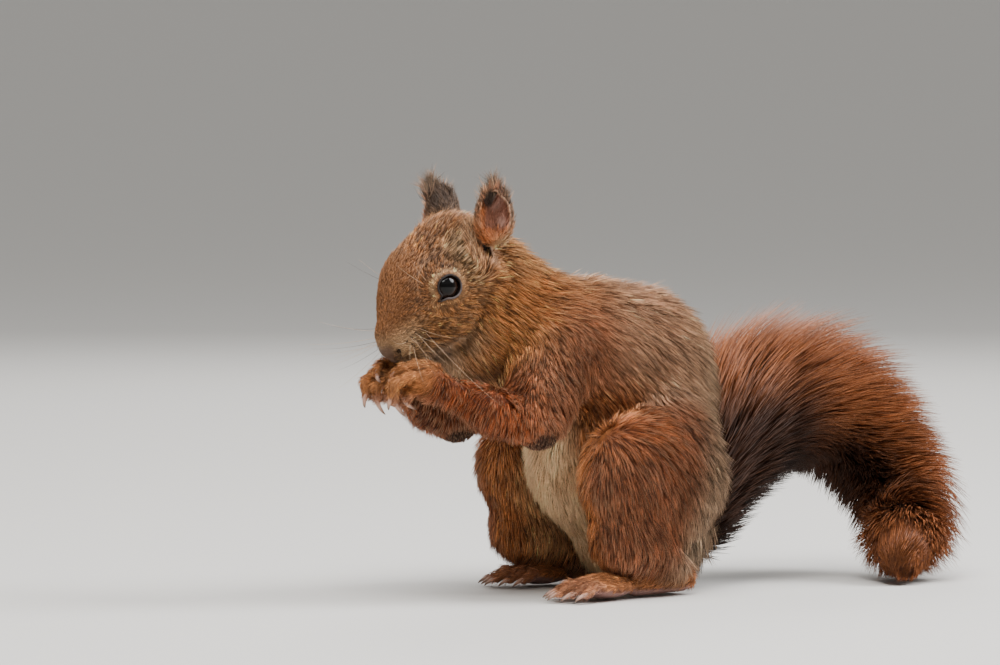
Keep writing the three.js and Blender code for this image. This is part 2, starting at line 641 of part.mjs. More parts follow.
/** The flesh and underfur of one length of the tail, a chain of limbs that runs a little past its ends. */
function tailCore(from, to) {
  const long = to - from + 2 * CORE.past;
  const stops = [0, 0.25, 0.5, 0.75, 1].map((share) => clamp01(from - CORE.past + share * long));
  const spine = stops.map((t) => hairPoint(t, 0, 0).at.toArray());
  const thick = stops.map((t) => CORE.share * (hairReach(t, 0) + hairReach(t, Math.PI)) / 2);
  const limbs = spine.slice(1).map((end, i) => limb(spine[i], thick[i], end, thick[i + 1]));
  return solid(wrap(blend(3, ...limbs), spine, { rows: 6, sides: 12, caps: 2 }));
}

/** One length of the tail: its core and rows of locks, each row turned half a lock from the last. */
function tailLength(index) {
  const [from, to] = [TAIL_PARTS[index], TAIL_PARTS[index + 1]];
  const random = seeded(11 + index);
  const rows = Math.round(((to - from) * tailLong) / LOCK.row);
  let shape = tailCore(from, to);
  for (let row = 0; row < rows; row += 1) {
    const middle = from + ((row + 0.5) / rows) * (to - from);
    const count = Math.round((Math.PI * hairReach(middle, Math.PI / 2)) / LOCK.spacing);
    for (let i = 0; i < count; i += 1) {
      const turn = (2 * Math.PI * (i + 0.5 * (row % 2) + 1.5 * LOCK.uneven * (random() - 0.5))) / count;
      const t = middle + (LOCK.uneven * (random() - 0.5) * LOCK.row) / tailLong;
      shape = shape.add(tailLock(t, turn, random));
    }
  }
  const isLast = index === TAIL_PARTS.length - 2;
  if (isLast) shape = brush(random).reduce((all, lock) => all.add(lock), shape);
  return shape.intersect(tailRoom(index === 0 ? ROOM.first : from, isLast ? ROOM.last : to));
}
for (let index = 0; index + 1 < TAIL_PARTS.length; index += 1) {
  place(`tail_${index + 1}`, 'russet', () => tailLength(index), false);
}

// ---------------------------------------------------------------- the origin, below the middle of it all
const box = new THREE.Box3().setFromObject(group);
group.children.forEach((mesh) => {
  mesh.position.set(-(box.min.x + box.max.x) / 2, -(box.min.y + box.max.y) / 2, -box.min.z);
});

export default group;
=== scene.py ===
"""The looks of a Eurasian red squirrel that sits on its haunches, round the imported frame.

Lengths are millimetres in the animal's own frame until a mesh is made: it faces -X, its left side is
-Y, +Z is up and the floor is z = 0. The skin is a surface laid on one field, a distance to blended
balls and limbs, less the depth of the coat. The coat is tufts of hair that root on that skin.
A field is a function of x, y and z, negative inside.
"""
import math
from functools import reduce

import bpy
import numpy as np
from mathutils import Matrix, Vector, kdtree

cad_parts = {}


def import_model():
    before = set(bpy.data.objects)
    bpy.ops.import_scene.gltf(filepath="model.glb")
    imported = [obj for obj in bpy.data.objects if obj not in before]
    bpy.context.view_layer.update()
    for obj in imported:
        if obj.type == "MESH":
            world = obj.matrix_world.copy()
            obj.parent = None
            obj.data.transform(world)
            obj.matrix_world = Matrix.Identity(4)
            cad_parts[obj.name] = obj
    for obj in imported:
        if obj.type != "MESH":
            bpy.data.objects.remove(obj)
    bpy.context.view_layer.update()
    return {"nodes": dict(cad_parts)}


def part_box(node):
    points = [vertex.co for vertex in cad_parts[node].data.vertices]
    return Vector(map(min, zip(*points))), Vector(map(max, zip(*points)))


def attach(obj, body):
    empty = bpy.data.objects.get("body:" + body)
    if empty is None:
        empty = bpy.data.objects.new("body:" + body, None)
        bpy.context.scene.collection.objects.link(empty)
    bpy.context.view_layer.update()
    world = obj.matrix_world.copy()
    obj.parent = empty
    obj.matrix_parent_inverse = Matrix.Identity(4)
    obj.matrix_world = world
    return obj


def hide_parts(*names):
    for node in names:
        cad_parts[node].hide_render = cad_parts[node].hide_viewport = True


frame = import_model()

# ---------------- sizes of the body
SIDES = {-1: "left", 1: "right"}
SKULL = (-82.5, 0, 112.5)
HEAD_PITCH = math.radians(43)
EYE_FORWARD, EYE_SIDE, EYE_UP = 9.8, 11.5, 3  # in the head's own frame
EYE = {"radius": 5.3, "opening": (4.45, 3.8), "corner": (5.7, -1.4), "lids": (6.35, 5.85, 6.2)}
MOUTH = {"middle": (24, 0, -3), "turn": 106, "front": -28, "corner": -37, "radius": 0.55}
NOSTRIL = {"middle": (31.5, 0, -5), "turn": 58, "radius": 0.8}
EAR_AT = {"root": (-73.5, 13.5, 119), "middle": (-73.4, 16, 130.5), "tip": (-75.3, 18.6, 140.5), "thick": 1.2}
LEG_AT = {"knee": (-28, 31, 45), "shin": (-27.5, 30, 22), "ankle": (-8, 27, 11)}
FOOT_AT = {"heel": (0, 25.5, 6), "instep": (-20, 27.5, 5.6), "ball": (-35, 29, 4.4)}
STEP = {-1: -2, 1: 13}  # how far back each hind foot stands
ARM_AT = {"shoulder": (-47, 13, 84), "humerus": (-57, 20, 69), "elbow": (-61.5, 25, 60),
       "radius": (-77, 18.5, 66.5), "wrist": (-93, 11, 75)}
TAIL_SPINE = ((22, 0, 20), (38, 1, 41), (60, 2, 57), (80, 0, 56),
              (96, -8, 42), (101, -20, 25), (92, -34, 15))
TAIL_HAIR = {"back": (37, 43, 44, 40, 34, 28, 24, 15), "inside": (12, 18, 22, 22, 20, 18, 15, 10), "side": 3}
TAIL_FLESH = {"share": 0.24, "end": 2.5, "fillet": 3}  # its share of the hair's reach, and its last radius
HAIR_LEAN = {"most": 28, "at": 44, "bend": 1.4}
TIP_LEAN = {"from": 0.78, "more": 1.2}
FLOOR_HAIR = 1.6  # how high the tail's hair lies on the floor
TAIL_LEFT = {"from": -41, "room": 9}  # where its hair starts to be held in, and how far it goes on


# ---------------- small helpers
def unit(v):
    v = np.asarray(v, float)
    return v / (np.linalg.norm(v, axis=-1, keepdims=True) + 1e-9)


def ramp(x, start, end):
    """Goes smoothly from 0 where x is at start, above or below end, to 1 where it is at end."""
    t = np.clip((x - start) / (end - start), 0, 1)
    return t * t * (3 - 2 * t)


def mix(a, b, share):
    share = np.asarray(share)
    if share.ndim == 1:
        share = share[:, None]
    return a + (b - a) * share


def swatch(red, green, blue):
    """A linear colour from one in sRGB, 0 to 255."""
    return np.array([((c / 255 + 0.055) / 1.055) ** 2.4 for c in (red, green, blue)])


def mirrored(point, side):
    return (point[0], point[1] * side, point[2])


def both(make):
    return [make(side) for side in SIDES]


# ---------------- the head's own frame
PITCH_COS, PITCH_SIN = math.cos(HEAD_PITCH), math.sin(HEAD_PITCH)


def head_point(forward, side, up):
    """A point ahead of, beside and above the middle of the skull, along the pitched head."""
    x, z = -forward * PITCH_COS - up * PITCH_SIN, -forward * PITCH_SIN + up * PITCH_COS
    return (SKULL[0] + x, side, SKULL[2] + z)


def head_frame(x, z):
    """How far points lie ahead of and above the middle of the skull."""
    dx, dz = x - SKULL[0], z - SKULL[2]
    return -dx * PITCH_COS - dz * PITCH_SIN, -dx * PITCH_SIN + dz * PITCH_COS


eye_boxes = [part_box("eye_left"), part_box("eye_right")]
eye_centre = sum((low + high for low, high in eye_boxes), Vector()) / 4 * 1000
eye_middle = head_point(EYE_FORWARD, 0, EYE_UP)
SHIFT = np.array([eye_centre.x - eye_middle[0], eye_centre.y, 0.0])


def world(points):
    """Points of the animal's frame in the shared one, in metres."""
    return (np.asarray(points, float) + SHIFT) / 1000


# ---------------- fields
def ball(centre, radii, pitch=0.0):
    """A ball with three radii, turned nose-down by pitch about Y."""
    (cx, cy, cz), (rx, ry, rz) = centre, radii
    cos, sin = math.cos(pitch), math.sin(pitch)

    def field(x, y, z):
        dx, dz = x - cx, z - cz
        a = (dx * cos + dz * sin) / rx
        b = (y - cy) / ry
        c = (dz * cos - dx * sin) / rz
        k = np.sqrt(a * a + b * b + c * c)
        slope = np.sqrt((a / rx) ** 2 + (b / ry) ** 2 + (c / rz) ** 2) + 1e-6
        return k * (k - 1) / slope
    return field


def limb(start, start_radius, end, end_radius):
    """A round limb from start to end."""
    (ax, ay, az), (bx, by, bz) = start, end
    ux, uy, uz = bx - ax, by - ay, bz - az
    long = ux * ux + uy * uy + uz * uz

    def field(x, y, z):
        dx, dy, dz = x - ax, y - ay, z - az
        t = np.clip((dx * ux + dy * uy + dz * uz) / long, 0, 1)
        away = np.sqrt((dx - t * ux) ** 2 + (dy - t * uy) ** 2 + (dz - t * uz) ** 2)
        return away - (start_radius + t * (end_radius - start_radius))
    return field


def limbs(points, radii):
    """Round limbs from each point to the next."""
    ends = [(tuple(point), radius) for point, radius in zip(points, radii)]
    return [limb(*start, *end) for start, end in zip(ends, ends[1:])]


def smooth_min(a, b, soft):
    h = np.maximum(soft - np.abs(a - b), 0) / soft
    return np.minimum(a, b) - h * h * soft * 0.25


def blend(soft, *parts):
    """Joins parts with a fillet about as wide as soft."""
    def field(x, y, z):
        return reduce(lambda near, other: smooth_min(near, other, soft), (part(x, y, z) for part in parts))
    return field


def nearest_of(parts, x, y, z):
    """The distance to the nearest of parts."""
    return reduce(np.minimum, (part(x, y, z) for part in parts))


def chain(points, radii):
    """Limbs from each point to the next, joined without fillets."""
    parts = limbs(points, radii)
    return lambda x, y, z: nearest_of(parts, x, y, z)


def within(low, high, form, far=40.0):
    """A form worked out only inside a box, and far off elsewhere."""
    def field(x, y, z):
        near = (x > low[0]) & (x < high[0]) & (y > low[1]) & (y < high[1]) & (z > low[2]) & (z < high[2])
        out = np.full(x.shape, far, x.dtype)
        if near.any():
            out[near] = form(x[near], y[near], z[near])
        return out
    return field


def pair(low, high, make):
    """A part for each side, worked out only inside a box that is given for the right one."""
    def one(side):
        ends = sorted((low[1] * side, high[1] * side))
        return within((low[0], ends[0], low[2]), (high[0], ends[1], high[2]), make(side))
    return both(one)


def in_head(form):
    return within((-130, -28, 78), (-52, 28, 140), form)


def head_ball(place, radii):
    return ball(head_point(*place), radii, HEAD_PITCH)


def head_limb(start, start_radius, end, end_radius):
    return limb(head_point(*start), start_radius, head_point(*end), end_radius)


# ---------------- the body's outer form
skull_form = blend(
    5,
    head_ball((-3, 0, 1.5), (19, 16.6, 17)),
    head_ball((9.5, 0, 5.5), (15, 14.4, 13)),
    head_ball((19, 0, 2.5), (10, 10.4, 9.4)),
    head_limb((14, 0, 0.5), 11, (29, 0, -1.4), 7.6),
    *both(lambda s: head_ball((9, s * 8.2, -6.6), (13.5, 8.6, 9.2))),
    head_ball((13, 0, -10), (14, 9.5, 7.5)))
face_form = blend(
    1.6,
    skull_form,
    *both(lambda s: head_ball((28.4, s * 4.2, -3.8), (7, 4.7, 4.8))),
    head_ball((35, 0, -2.6), (3.3, 3.6, 4)),
    head_ball((25, 0, -11.5), (8.2, 5.4, 4.5)),
    *both(lambda s: head_limb((35, 0, -6.4), 1.9, (24, s * 6.4, -7.6), 1.6)),
    *both(lambda s: head_limb((31.6, 0, -9.6), 1.3, (24, s * 5.6, -10.2), 1.5)))
trunk_form = blend(
    9,
    ball((0, 0, 30), (28, 26, 30)),
    ball((-3, 0, 71), (30.5, 27, 36)),
    ball((-20, 0, 48), (25, 23, 28)),
    ball((-25, 0, 84), (29, 25, 27)),
    ball((-45, 0, 88), (22, 23, 22)),
    ball((-66, 0, 90), (13, 13, 15)),
    limb((-66, 0, 91), 12.5, (-78, 0, 83), 9.8),
    limb((-50, 0, 95), 20, (-66, 0, 110), 17))


def leg_form(side):
    def at(point):
        return mirrored(point, side)
    return blend(
        8,
        ball(at((-9.5, 24.5, 41)), (26, 15, 26), 0.15),
        ball(at(LEG_AT["knee"]), (18, 14, 18.5)),
        limb(at((-27.5, 29.5, 38)), 15, at(LEG_AT["shin"]), 12),
        limb(at(LEG_AT["shin"]), 12, at(LEG_AT["ankle"]), 8.5))


def upper_arm_form(side):
    return limb(mirrored(ARM_AT["shoulder"], side), 15, mirrored(ARM_AT["humerus"], side), 11.5)


def arm_form(side):
    def at(name):
        return mirrored(ARM_AT[name], side)
    return blend(
        6,
        upper_arm_form(side),
        limb(at("humerus"), 11.5, at("elbow"), 8.6),
        limb(at("elbow"), 8.8, at("radius"), 7.4),
        limb(at("radius"), 7.4, at("wrist"), 4.6))


CLAW = 5.5  # how long a toe's claw is
TOE_RADII, FINGER_RADII = (1.9, 1.6), (1.8, 1.45)


def foot_digits(side):
    """Root, knuckle, end and claw tip of each toe."""
    digits = []
    for k in (-2, -1, 0, 1, 2):
        back = abs(k) * (2.6 if k < 0 else 2.2)
        root = (-41 + back, 29 + k * 3.4, 4.4)
        knuckle = (-48.5 + back, 29.3 + k * 4.1, 5.2)
        end = (-54 + back, 29.6 + k * 4.7, 2.6)
        tip = (end[0] - 0.93 * CLAW, end[1] + 0.06 * k * CLAW, end[2] - 0.3 * CLAW)
        digits.append([mirrored((x + STEP[side], y, z), side) for x, y, z in (root, knuckle, end, tip)])
    return digits


FINGERS = (  # root, knuckle, bend, end and claw tip, for the right hand
    ((-97, 9, 80.6), (-101.5, 9.4, 81.2), (-105.5, 7.8, 80.4), (-108, 5.4, 78.2), (-108.6, 3.4, 75.2)),
    ((-98, 10.5, 78.4), (-105.2, 10.8, 77.8), (-111, 9.6, 75.4), (-110.8, 8.5, 71), (-112.4, 8, 66.4)),
    ((-98, 6, 78.3), (-105.5, 5.4, 77.3), (-109, 5.6, 73.8), (-107.8, 6, 69.6), (-104, 6.4, 64)),
    ((-94.6, 8.5, 72.6), (-98.6, 8, 73), (-102, 7, 72.2), (-103.6, 6, 69.8), (-98.4, 5.5, 66.2)))
PALM = {"middle": (-97.5, 8.6, 77.4), "radii": (6.4, 4.2, 4.6), "heel": (-95.4, 8, 72.6), "heel_radius": 3.6}
REACH = {-1: 0.93, 1: 0.86}  # of the fingers' length, the hand closed a little more on the right


def hand_digits(side):
    """Root, knuckle, bend, end and claw tip of each finger."""
    wrist = PALM["middle"][0]
    return [[(wrist + (x - wrist) * REACH[side], y * side, z) for x, y, z in finger] for finger in FINGERS]


def digit_form(points, radii):
    """A toe or finger through all its points but the claw's tip."""
    joints = points[:-1]
    return blend(0.8, *limbs(joints, np.linspace(*radii, len(joints))))


def foot_form(side):
    heel, instep, toes = (mirrored((x + STEP[side], y, z), side) for x, y, z in FOOT_AT.values())
    return blend(
        1.5,
        blend(4, limb(heel, 5.6, instep, 5.6), ball(toes, (12.4, 8, 4.4))),
        *(digit_form(points, TOE_RADII) for points in foot_digits(side)))


def hand_form(side):
    middle, heel = mirrored(PALM["middle"], side), mirrored(PALM["heel"], side)
    return blend(
        0.7,
        blend(3, ball(middle, PALM["radii"], 0.2), limb(middle, 3.4, heel, PALM["heel_radius"])),
        *(digit_form(points, FINGER_RADII) for points in hand_digits(side)))


def ear_leaf(side, thin=0.0, moved=(0, 0, 0)):
    """A pointed leaf."""
    def at(point):
        return mirrored(tuple(p + m for p, m in zip(point, moved)), side)
    return blend(
        3,
        ball(at(EAR_AT["middle"]), (6.8 - thin, 5 - thin, 9 - thin)),
        limb(at((-74.4, 17.4, 134)), 4.2 - thin, at(EAR_AT["tip"]), 1.3 - thin * 0.8))


def ear_hollow(side):
    """What hollows the leaf from its outer and front side."""
    return ear_leaf(side, EAR_AT["thick"], (-1.6, 2.6, 1.2))


def ear_form(side):
    shell, hollow = ear_leaf(side), ear_hollow(side)
    return lambda x, y, z: np.maximum(shell(x, y, z), -hollow(x, y, z))


# ---------------- the tail
def centripetal(points, steps=60):
    """A smooth curve through points, with its direction and the length up to each of its points."""
    points = [np.array(p, float) for p in points]
    points = [2 * points[0] - points[1]] + points + [2 * points[-1] - points[-2]]
    track = []
    for p0, p1, p2, p3 in zip(points, points[1:], points[2:], points[3:]):
        t1 = np.linalg.norm(p1 - p0) ** 0.5
        t2 = t1 + np.linalg.norm(p2 - p1) ** 0.5
        t3 = t2 + np.linalg.norm(p3 - p2) ** 0.5
        for t in np.linspace(t1, t2, steps, endpoint=False):
            a1 = p0 + (p1 - p0) * t / t1
            a2 = p1 + (p2 - p1) * (t - t1) / (t2 - t1)
            a3 = p2 + (p3 - p2) * (t - t2) / (t3 - t2)
            b1 = a1 + (a2 - a1) * t / t2
            b2 = a2 + (a3 - a2) * (t - t1) / (t3 - t1)
            track.append(b1 + (b2 - b1) * (t - t1) / (t2 - t1))
    track.append(points[-2])
    track = np.array(track)
    gaps = np.linalg.norm(np.diff(track, axis=0), axis=1)
    return track, unit(np.gradient(track, axis=0)), np.concatenate([[0], np.cumsum(gaps)])


tail_track, tail_way, tail_run = centripetal(TAIL_SPINE)
TAIL_LONG = tail_run[-1]


def tail_axes(t):
    """The point, direction, side and back of the tail at shares t of its length, also past its ends."""
    end = np.clip(t, 0, 1)
    at = np.stack([np.interp(end * TAIL_LONG, tail_run, tail_track[:, i]) for i in range(3)], -1)
    along = unit(np.stack([np.interp(end * TAIL_LONG, tail_run, tail_way[:, i]) for i in range(3)], -1))
    at = at + along * ((t - end) * TAIL_LONG)[..., None]
    side = unit(np.array([0, 1.0, 0]) - along * along[..., 1:2])
    return at, along, side, np.cross(along, side)


def stepped(table, t):
    return np.interp(t, np.linspace(0, 1, len(table)), table)


def hair_reach(t, turn):
    back, inside = stepped(TAIL_HAIR["back"], t), stepped(TAIL_HAIR["inside"], t)
    return (back + inside + np.cos(turn) * (back - inside)) / 2 + TAIL_HAIR["side"] * np.sin(turn) ** 2


def hair_point(t, turn, out):
    """A point of the hair that roots at t and turn round the tail, out from the spine."""
    more = 1 + TIP_LEAN["more"] * np.clip((t - TIP_LEAN["from"]) / (1 - TIP_LEAN["from"]), 0, 1)
    lean = HAIR_LEAN["most"] * more * (out / HAIR_LEAN["at"]) ** HAIR_LEAN["bend"]
    at, _, side, back = tail_axes(t + lean / TAIL_LONG)
    at = at + back * (out * np.cos(turn))[..., None] + side * (out * np.sin(turn))[..., None]
    return above_floor(at)


def above_floor(at):
    """Points bent so that none goes below the floor or far to the left."""
    low = np.minimum(at[..., 2] - 2 * FLOOR_HAIR, 0)
    laid = FLOOR_HAIR * (0.35 + 1.65 * np.exp(low / (1.65 * FLOOR_HAIR)))
    at[..., 2] = np.where(low < 0, laid, at[..., 2])
    past = np.minimum(at[..., 1] - TAIL_LEFT["from"], 0)
    held = TAIL_LEFT["from"] + TAIL_LEFT["room"] * (np.exp(past / TAIL_LEFT["room"]) - 1)
    at[..., 1] = np.where(past < 0, held, at[..., 1])
    return at


def tail_form():
    stops = np.linspace(-0.08, 1, 12)
    reach = stepped(TAIL_HAIR["back"], stops) + stepped(TAIL_HAIR["inside"], stops)
    thick = TAIL_FLESH["share"] * reach / 2
    thick[-1] = TAIL_FLESH["end"]
    return blend(TAIL_FLESH["fillet"], *limbs(tail_axes(stops)[0], thick))


# ---------------- the parts and the depth of their coat
COAT = {"back_of_head": 3.0, "muzzle": 0.5, "trunk": 4.2, "leg": 3.2, "foot": 0.4, "arm": 3.0, "wrist": 0.8,
        "bare": 0.1}

trunk_part = within((-95, -45, -5), (45, 45, 135), trunk_form)
face_part = in_head(face_form)
leg_parts = pair((-70, 4, -5), (45, 55, 85), leg_form)
arm_parts = pair((-110, -5, 40), (-25, 45, 110), arm_form)
upper_arm_parts = pair((-90, -5, 40), (-15, 50, 115), upper_arm_form)
foot_parts = pair((-75, 8, -5), (28, 50, 20), foot_form)
hand_parts = pair((-120, -5, 55), (-88, 22, 90), hand_form)
finger_parts = [
    pair((-120, -5, 55), (-90, 22, 90), lambda side: digit_form(hand_digits(side)[k], FINGER_RADII))
    for k in range(len(FINGERS))]
ear_parts = pair((-88, 6, 112), (-60, 28, 150), ear_form)
tail_part = within((-8, -60, -8), (125, 30, 80), tail_form())


def head_coat(x, z):
    """The depth of the coat on the head, thinner towards the nose and round the eyes."""
    forward, up = head_frame(x, z)
    depth = COAT["muzzle"] + (COAT["back_of_head"] - COAT["muzzle"]) * ramp(forward, 30, -14)
    from_eye = np.sqrt((forward - EYE_FORWARD) ** 2 + (up - EYE_UP) ** 2)
    return 0.5 + (depth - 0.5) * ramp(from_eye, 4.5, 10)


def trunk_coat(x, z):
    """The depth of the coat on the trunk, less at the throat."""
    return COAT["trunk"] - 2.4 * ramp(x, -66, -74) * ramp(z, 70, 78)


def arm_coat(x):
    return COAT["wrist"] + (COAT["arm"] - COAT["wrist"]) * ramp(x, -97, -80)


def bare_face(x, y, z):
    """The face under its coat, with neither lids nor openings."""
    return face_form(x, y, z) + head_coat(x, z)


def surface_point(form, start, way, reach=40.0):
    """Where a ray from inside a form leaves it."""
    start, way = np.array(start, float), unit(way)
    steps = np.linspace(0, reach, 4001)
    track = start + steps[:, None] * way
    outside = form(*track.T) > 0
    return track[np.argmax(outside)]


# ---------------- mouth, nostrils, lids and the ears' notches
def face_point(middle, turned, raised):
    """The face's surface in a direction turned sideways and raised, in degrees, from a point in the head."""
    turn, rise = math.radians(turned), math.radians(raised)
    ahead = (math.cos(turn) * math.cos(rise), math.sin(turn) * math.cos(rise), math.sin(rise))
    start = np.array(head_point(*middle))
    aim = np.array(head_point(*(m + a for m, a in zip(middle, ahead))))
    return surface_point(bare_face, start, aim - start)


mouth_points = [face_point(MOUTH["middle"], MOUTH["turn"] * t,
                           MOUTH["front"] + (MOUTH["corner"] - MOUTH["front"]) * t * t)
                for t in np.linspace(-1, 1, 15)]
mouth_cut = in_head(chain(mouth_points, [MOUTH["radius"]] * len(mouth_points)))


def nostril_cut(side):
    """A comma: a round hole with a slit that runs down from it."""
    hole = face_point(NOSTRIL["middle"], side * NOSTRIL["turn"], 14)
    slit = face_point(NOSTRIL["middle"], side * (NOSTRIL["turn"] - 8), -16)
    return in_head(chain([hole, slit], [NOSTRIL["radius"], 0.35]))


def almond(forward, up):
    """How far a point, seen from the side, lies outside the lids' opening: an oval with a corner.

    Both measures count from the middle of the eye.
    """
    (wide, high), (corner_forward, corner_up) = EYE["opening"], EYE["corner"]
    level, rise = forward * PITCH_COS + up * PITCH_SIN, up * PITCH_COS - forward * PITCH_SIN
    k = np.sqrt((level / wide) ** 2 + (rise / high) ** 2)
    oval = k * (k - 1) / (np.sqrt((level / wide ** 2) ** 2 + (rise / high ** 2) ** 2) + 1e-6)
    long = corner_forward ** 2 + corner_up ** 2
    t = np.clip((forward * corner_forward + up * corner_up) / long, 0, 1)
    away = np.sqrt((forward - t * corner_forward) ** 2 + (up - t * corner_up) ** 2)
    return np.minimum(oval, away - (high * (1 - t) ** 1.25 + 0.15))


def from_lids(forward, up):
    return almond(forward - EYE_FORWARD, up - EYE_UP)


def lid_cut(side):
    """The opening between the lids, as deep as the front of the eyeball."""
    def field(x, y, z):
        return np.maximum(from_lids(*head_frame(x, z)), EYE_SIDE - 2 - y * side)
    return in_head(field)


def lid_ball(side):
    return head_ball((EYE_FORWARD, side * EYE_SIDE, EYE_UP), EYE["lids"])


SLIT = [(-73, 124), (-73.8, 121), (-73.6, 118), (-72.2, 116), (-70, 115.2)]  # the ear's notch, in x and z
SLIT_RADII = [1.1, 1.5, 1.6, 1.4, 0.9]


def eared_face(x, y, z):
    return np.minimum(bare_face(x, y, z), ear_form(1)(x, y, z))


slit_points = [surface_point(eared_face, (x, 4, z), (0, 1, 0)) for x, z in SLIT]
nostril_cuts, lid_cuts = both(nostril_cut), both(lid_cut)
lid_parts = both(lambda side: in_head(lid_ball(side)))
slit_cuts = both(lambda side: in_head(chain([mirrored(p, side) for p in slit_points], SLIT_RADII)))
openings = [mouth_cut, *nostril_cuts, *lid_cuts, *slit_cuts]

# ---------------- the skin's field
FILLET = {"lid": 1.6, "upper_arm": 12, "neck": 6, "ankle": 4, "wrist": 3, "leg": 7, "rump": 18, "arm": 4,
          "ear": 1.5, "tail": 6}
FLOOR_GAP = 0.4  # between the floor and the skin of the soles
uncut_face = blend(FILLET["lid"], bare_face, *both(lid_ball))  # with its lids, before any opening is cut


def skin_field(x, y, z):
    """The bare body."""
    face = face_part(x, y, z) + head_coat(x, z)
    for lid in lid_parts:
        face = smooth_min(face, lid(x, y, z), FILLET["lid"])
    trunk = trunk_part(x, y, z) + trunk_coat(x, z)
    for upper_arm in upper_arm_parts:
        trunk = smooth_min(trunk, upper_arm(x, y, z) + COAT["arm"], FILLET["upper_arm"])
    field = smooth_min(trunk, face, FILLET["neck"])
    by_leg = FILLET["leg"] + (FILLET["rump"] - FILLET["leg"]) * ramp(x, -24, -4) * ramp(z, 24, 40)
    for leg, foot, arm, hand, ear in zip(leg_parts, foot_parts, arm_parts, hand_parts, ear_parts):
        lower = smooth_min(leg(x, y, z) + COAT["leg"], foot(x, y, z) + COAT["foot"], FILLET["ankle"])
        upper = smooth_min(arm(x, y, z) + arm_coat(x), hand(x, y, z) + COAT["bare"], FILLET["wrist"])
        field = smooth_min(field, lower, by_leg)
        field = smooth_min(field, upper, FILLET["arm"])
        field = smooth_min(field, ear(x, y, z) + COAT["bare"], FILLET["ear"])
    field = smooth_min(field, tail_part(x, y, z), FILLET["tail"])
    for cut in openings:
        field = np.maximum(field, -cut(x, y, z))
    return np.maximum(field, FLOOR_GAP - z)


def slopes(field, points, step=0.05):
    """The field's gradient at points."""
    out = np.empty_like(points)
    for axis in range(3):
        ahead, behind = points.copy(), points.copy()
        ahead[:, axis] += step
        behind[:, axis] -= step
        out[:, axis] = (field(*ahead.T) - field(*behind.T)) / (2 * step)
    return out


# ---------------- a surface laid on a field
def spaced(stretches):
    """Grid lines over stretches, each its start, end and spacing."""
    lines = [np.arange(start, end, step) for start, end, step in stretches]
    return np.concatenate([*lines, [stretches[-1][1]]])


def sample(lines, field, block=12, together=40):
    """The field on a grid, worked out only in blocks that the surface may pass."""
    size = [len(line) for line in lines]
    values = np.full(size, 40.0, np.float32)
    starts = np.stack(np.meshgrid(*(np.arange(0, n, block) for n in size), indexing="ij"), -1).reshape(-1, 3)
    lows = np.stack([line[starts[:, a]] for a, line in enumerate(lines)], 1)
    ends = np.minimum(starts + block, np.array(size) - 1)
    highs = np.stack([line[ends[:, a]] for a, line in enumerate(lines)], 1)
    at_middle = field(*((lows + highs) / 2).T)
    near = np.abs(at_middle) < 0.65 * np.linalg.norm(highs - lows, axis=1) + 4
    for (i, j, k), value in zip(starts[~near], at_middle[~near]):
        values[i:i + block, j:j + block, k:k + block] = value
    local = np.stack(np.meshgrid(*[np.arange(block)] * 3, indexing="ij"), -1).reshape(-1, 3)
    for few in np.array_split(starts[near], max(1, near.sum() // together)):
        cell = (few[:, None] + local).reshape(-1, 3)
        cell = cell[(cell < size).all(1)]
        points = [line[cell[:, a]].astype(np.float32) for a, line in enumerate(lines)]
        values[tuple(cell.T)] = field(*points)
    return values


def surface_nets(lines, values):
    """Vertices and four-sided faces of the surface where the grid's values are zero."""
    inside = values < 0
    shape = np.array(values.shape) - 1
    offsets = np.array([(i, j, k) for i in (0, 1) for j in (0, 1) for k in (0, 1)])
    count = np.zeros(shape, np.int8)
    for i, j, k in offsets:
        count += inside[i:i + shape[0], j:j + shape[1], k:k + shape[2]]
    cells = np.argwhere((count > 0) & (count < 8))
    index = np.full(shape, -1, np.int64)
    index[tuple(cells.T)] = np.arange(len(cells))
    total, hits = np.zeros((len(cells), 3)), np.zeros(len(cells))
    for axis in range(3):
        for offset in offsets[offsets[:, axis] == 0]:
            start = cells + offset
            end = start + np.eye(3, dtype=int)[axis]
            low, high = values[tuple(start.T)], values[tuple(end.T)]
            crossed = (low < 0) != (high < 0)
            share = low[crossed] / (low[crossed] - high[crossed])
            place = np.stack([lines[a][start[crossed, a]] for a in range(3)], 1)
            place[:, axis] += share * (lines[axis][end[crossed, axis]] - lines[axis][start[crossed, axis]])
            total[crossed] += place
            hits[crossed] += 1
    faces = []
    for axis in range(3):
        u, v = (axis + 1) % 3, (axis + 2) % 3
        ahead = np.roll(inside, -1, axis)
        edges = np.argwhere(inside != ahead)
        edges = edges[(edges[:, axis] < shape[axis]) & (edges[:, u] > 0) & (edges[:, v] > 0)
                      & (edges[:, u] < shape[u]) & (edges[:, v] < shape[v])]
        step_u, step_v = np.eye(3, dtype=int)[u], np.eye(3, dtype=int)[v]
        ring = [index[tuple((edges - a).T)] for a in (0, step_u, step_u + step_v, step_v)]
        quad = np.stack(ring, 1)
        flipped = ~inside[tuple(edges.T)]
        quad[flipped] = quad[flipped][:, ::-1]
        faces.append(quad)
    return total / hits[:, None], np.concatenate(faces)


def halves(quads):
    """The triangles of four-sided faces."""
    return np.concatenate([quads[:, [0, 1, 2]], quads[:, [0, 2, 3]]])


# ---------------- meshes and materials
def placed(name, data):
    """An object in the scene that shows this data."""
    thing = bpy.data.objects.new(name, data)
    bpy.context.scene.collection.objects.link(thing)
    return thing


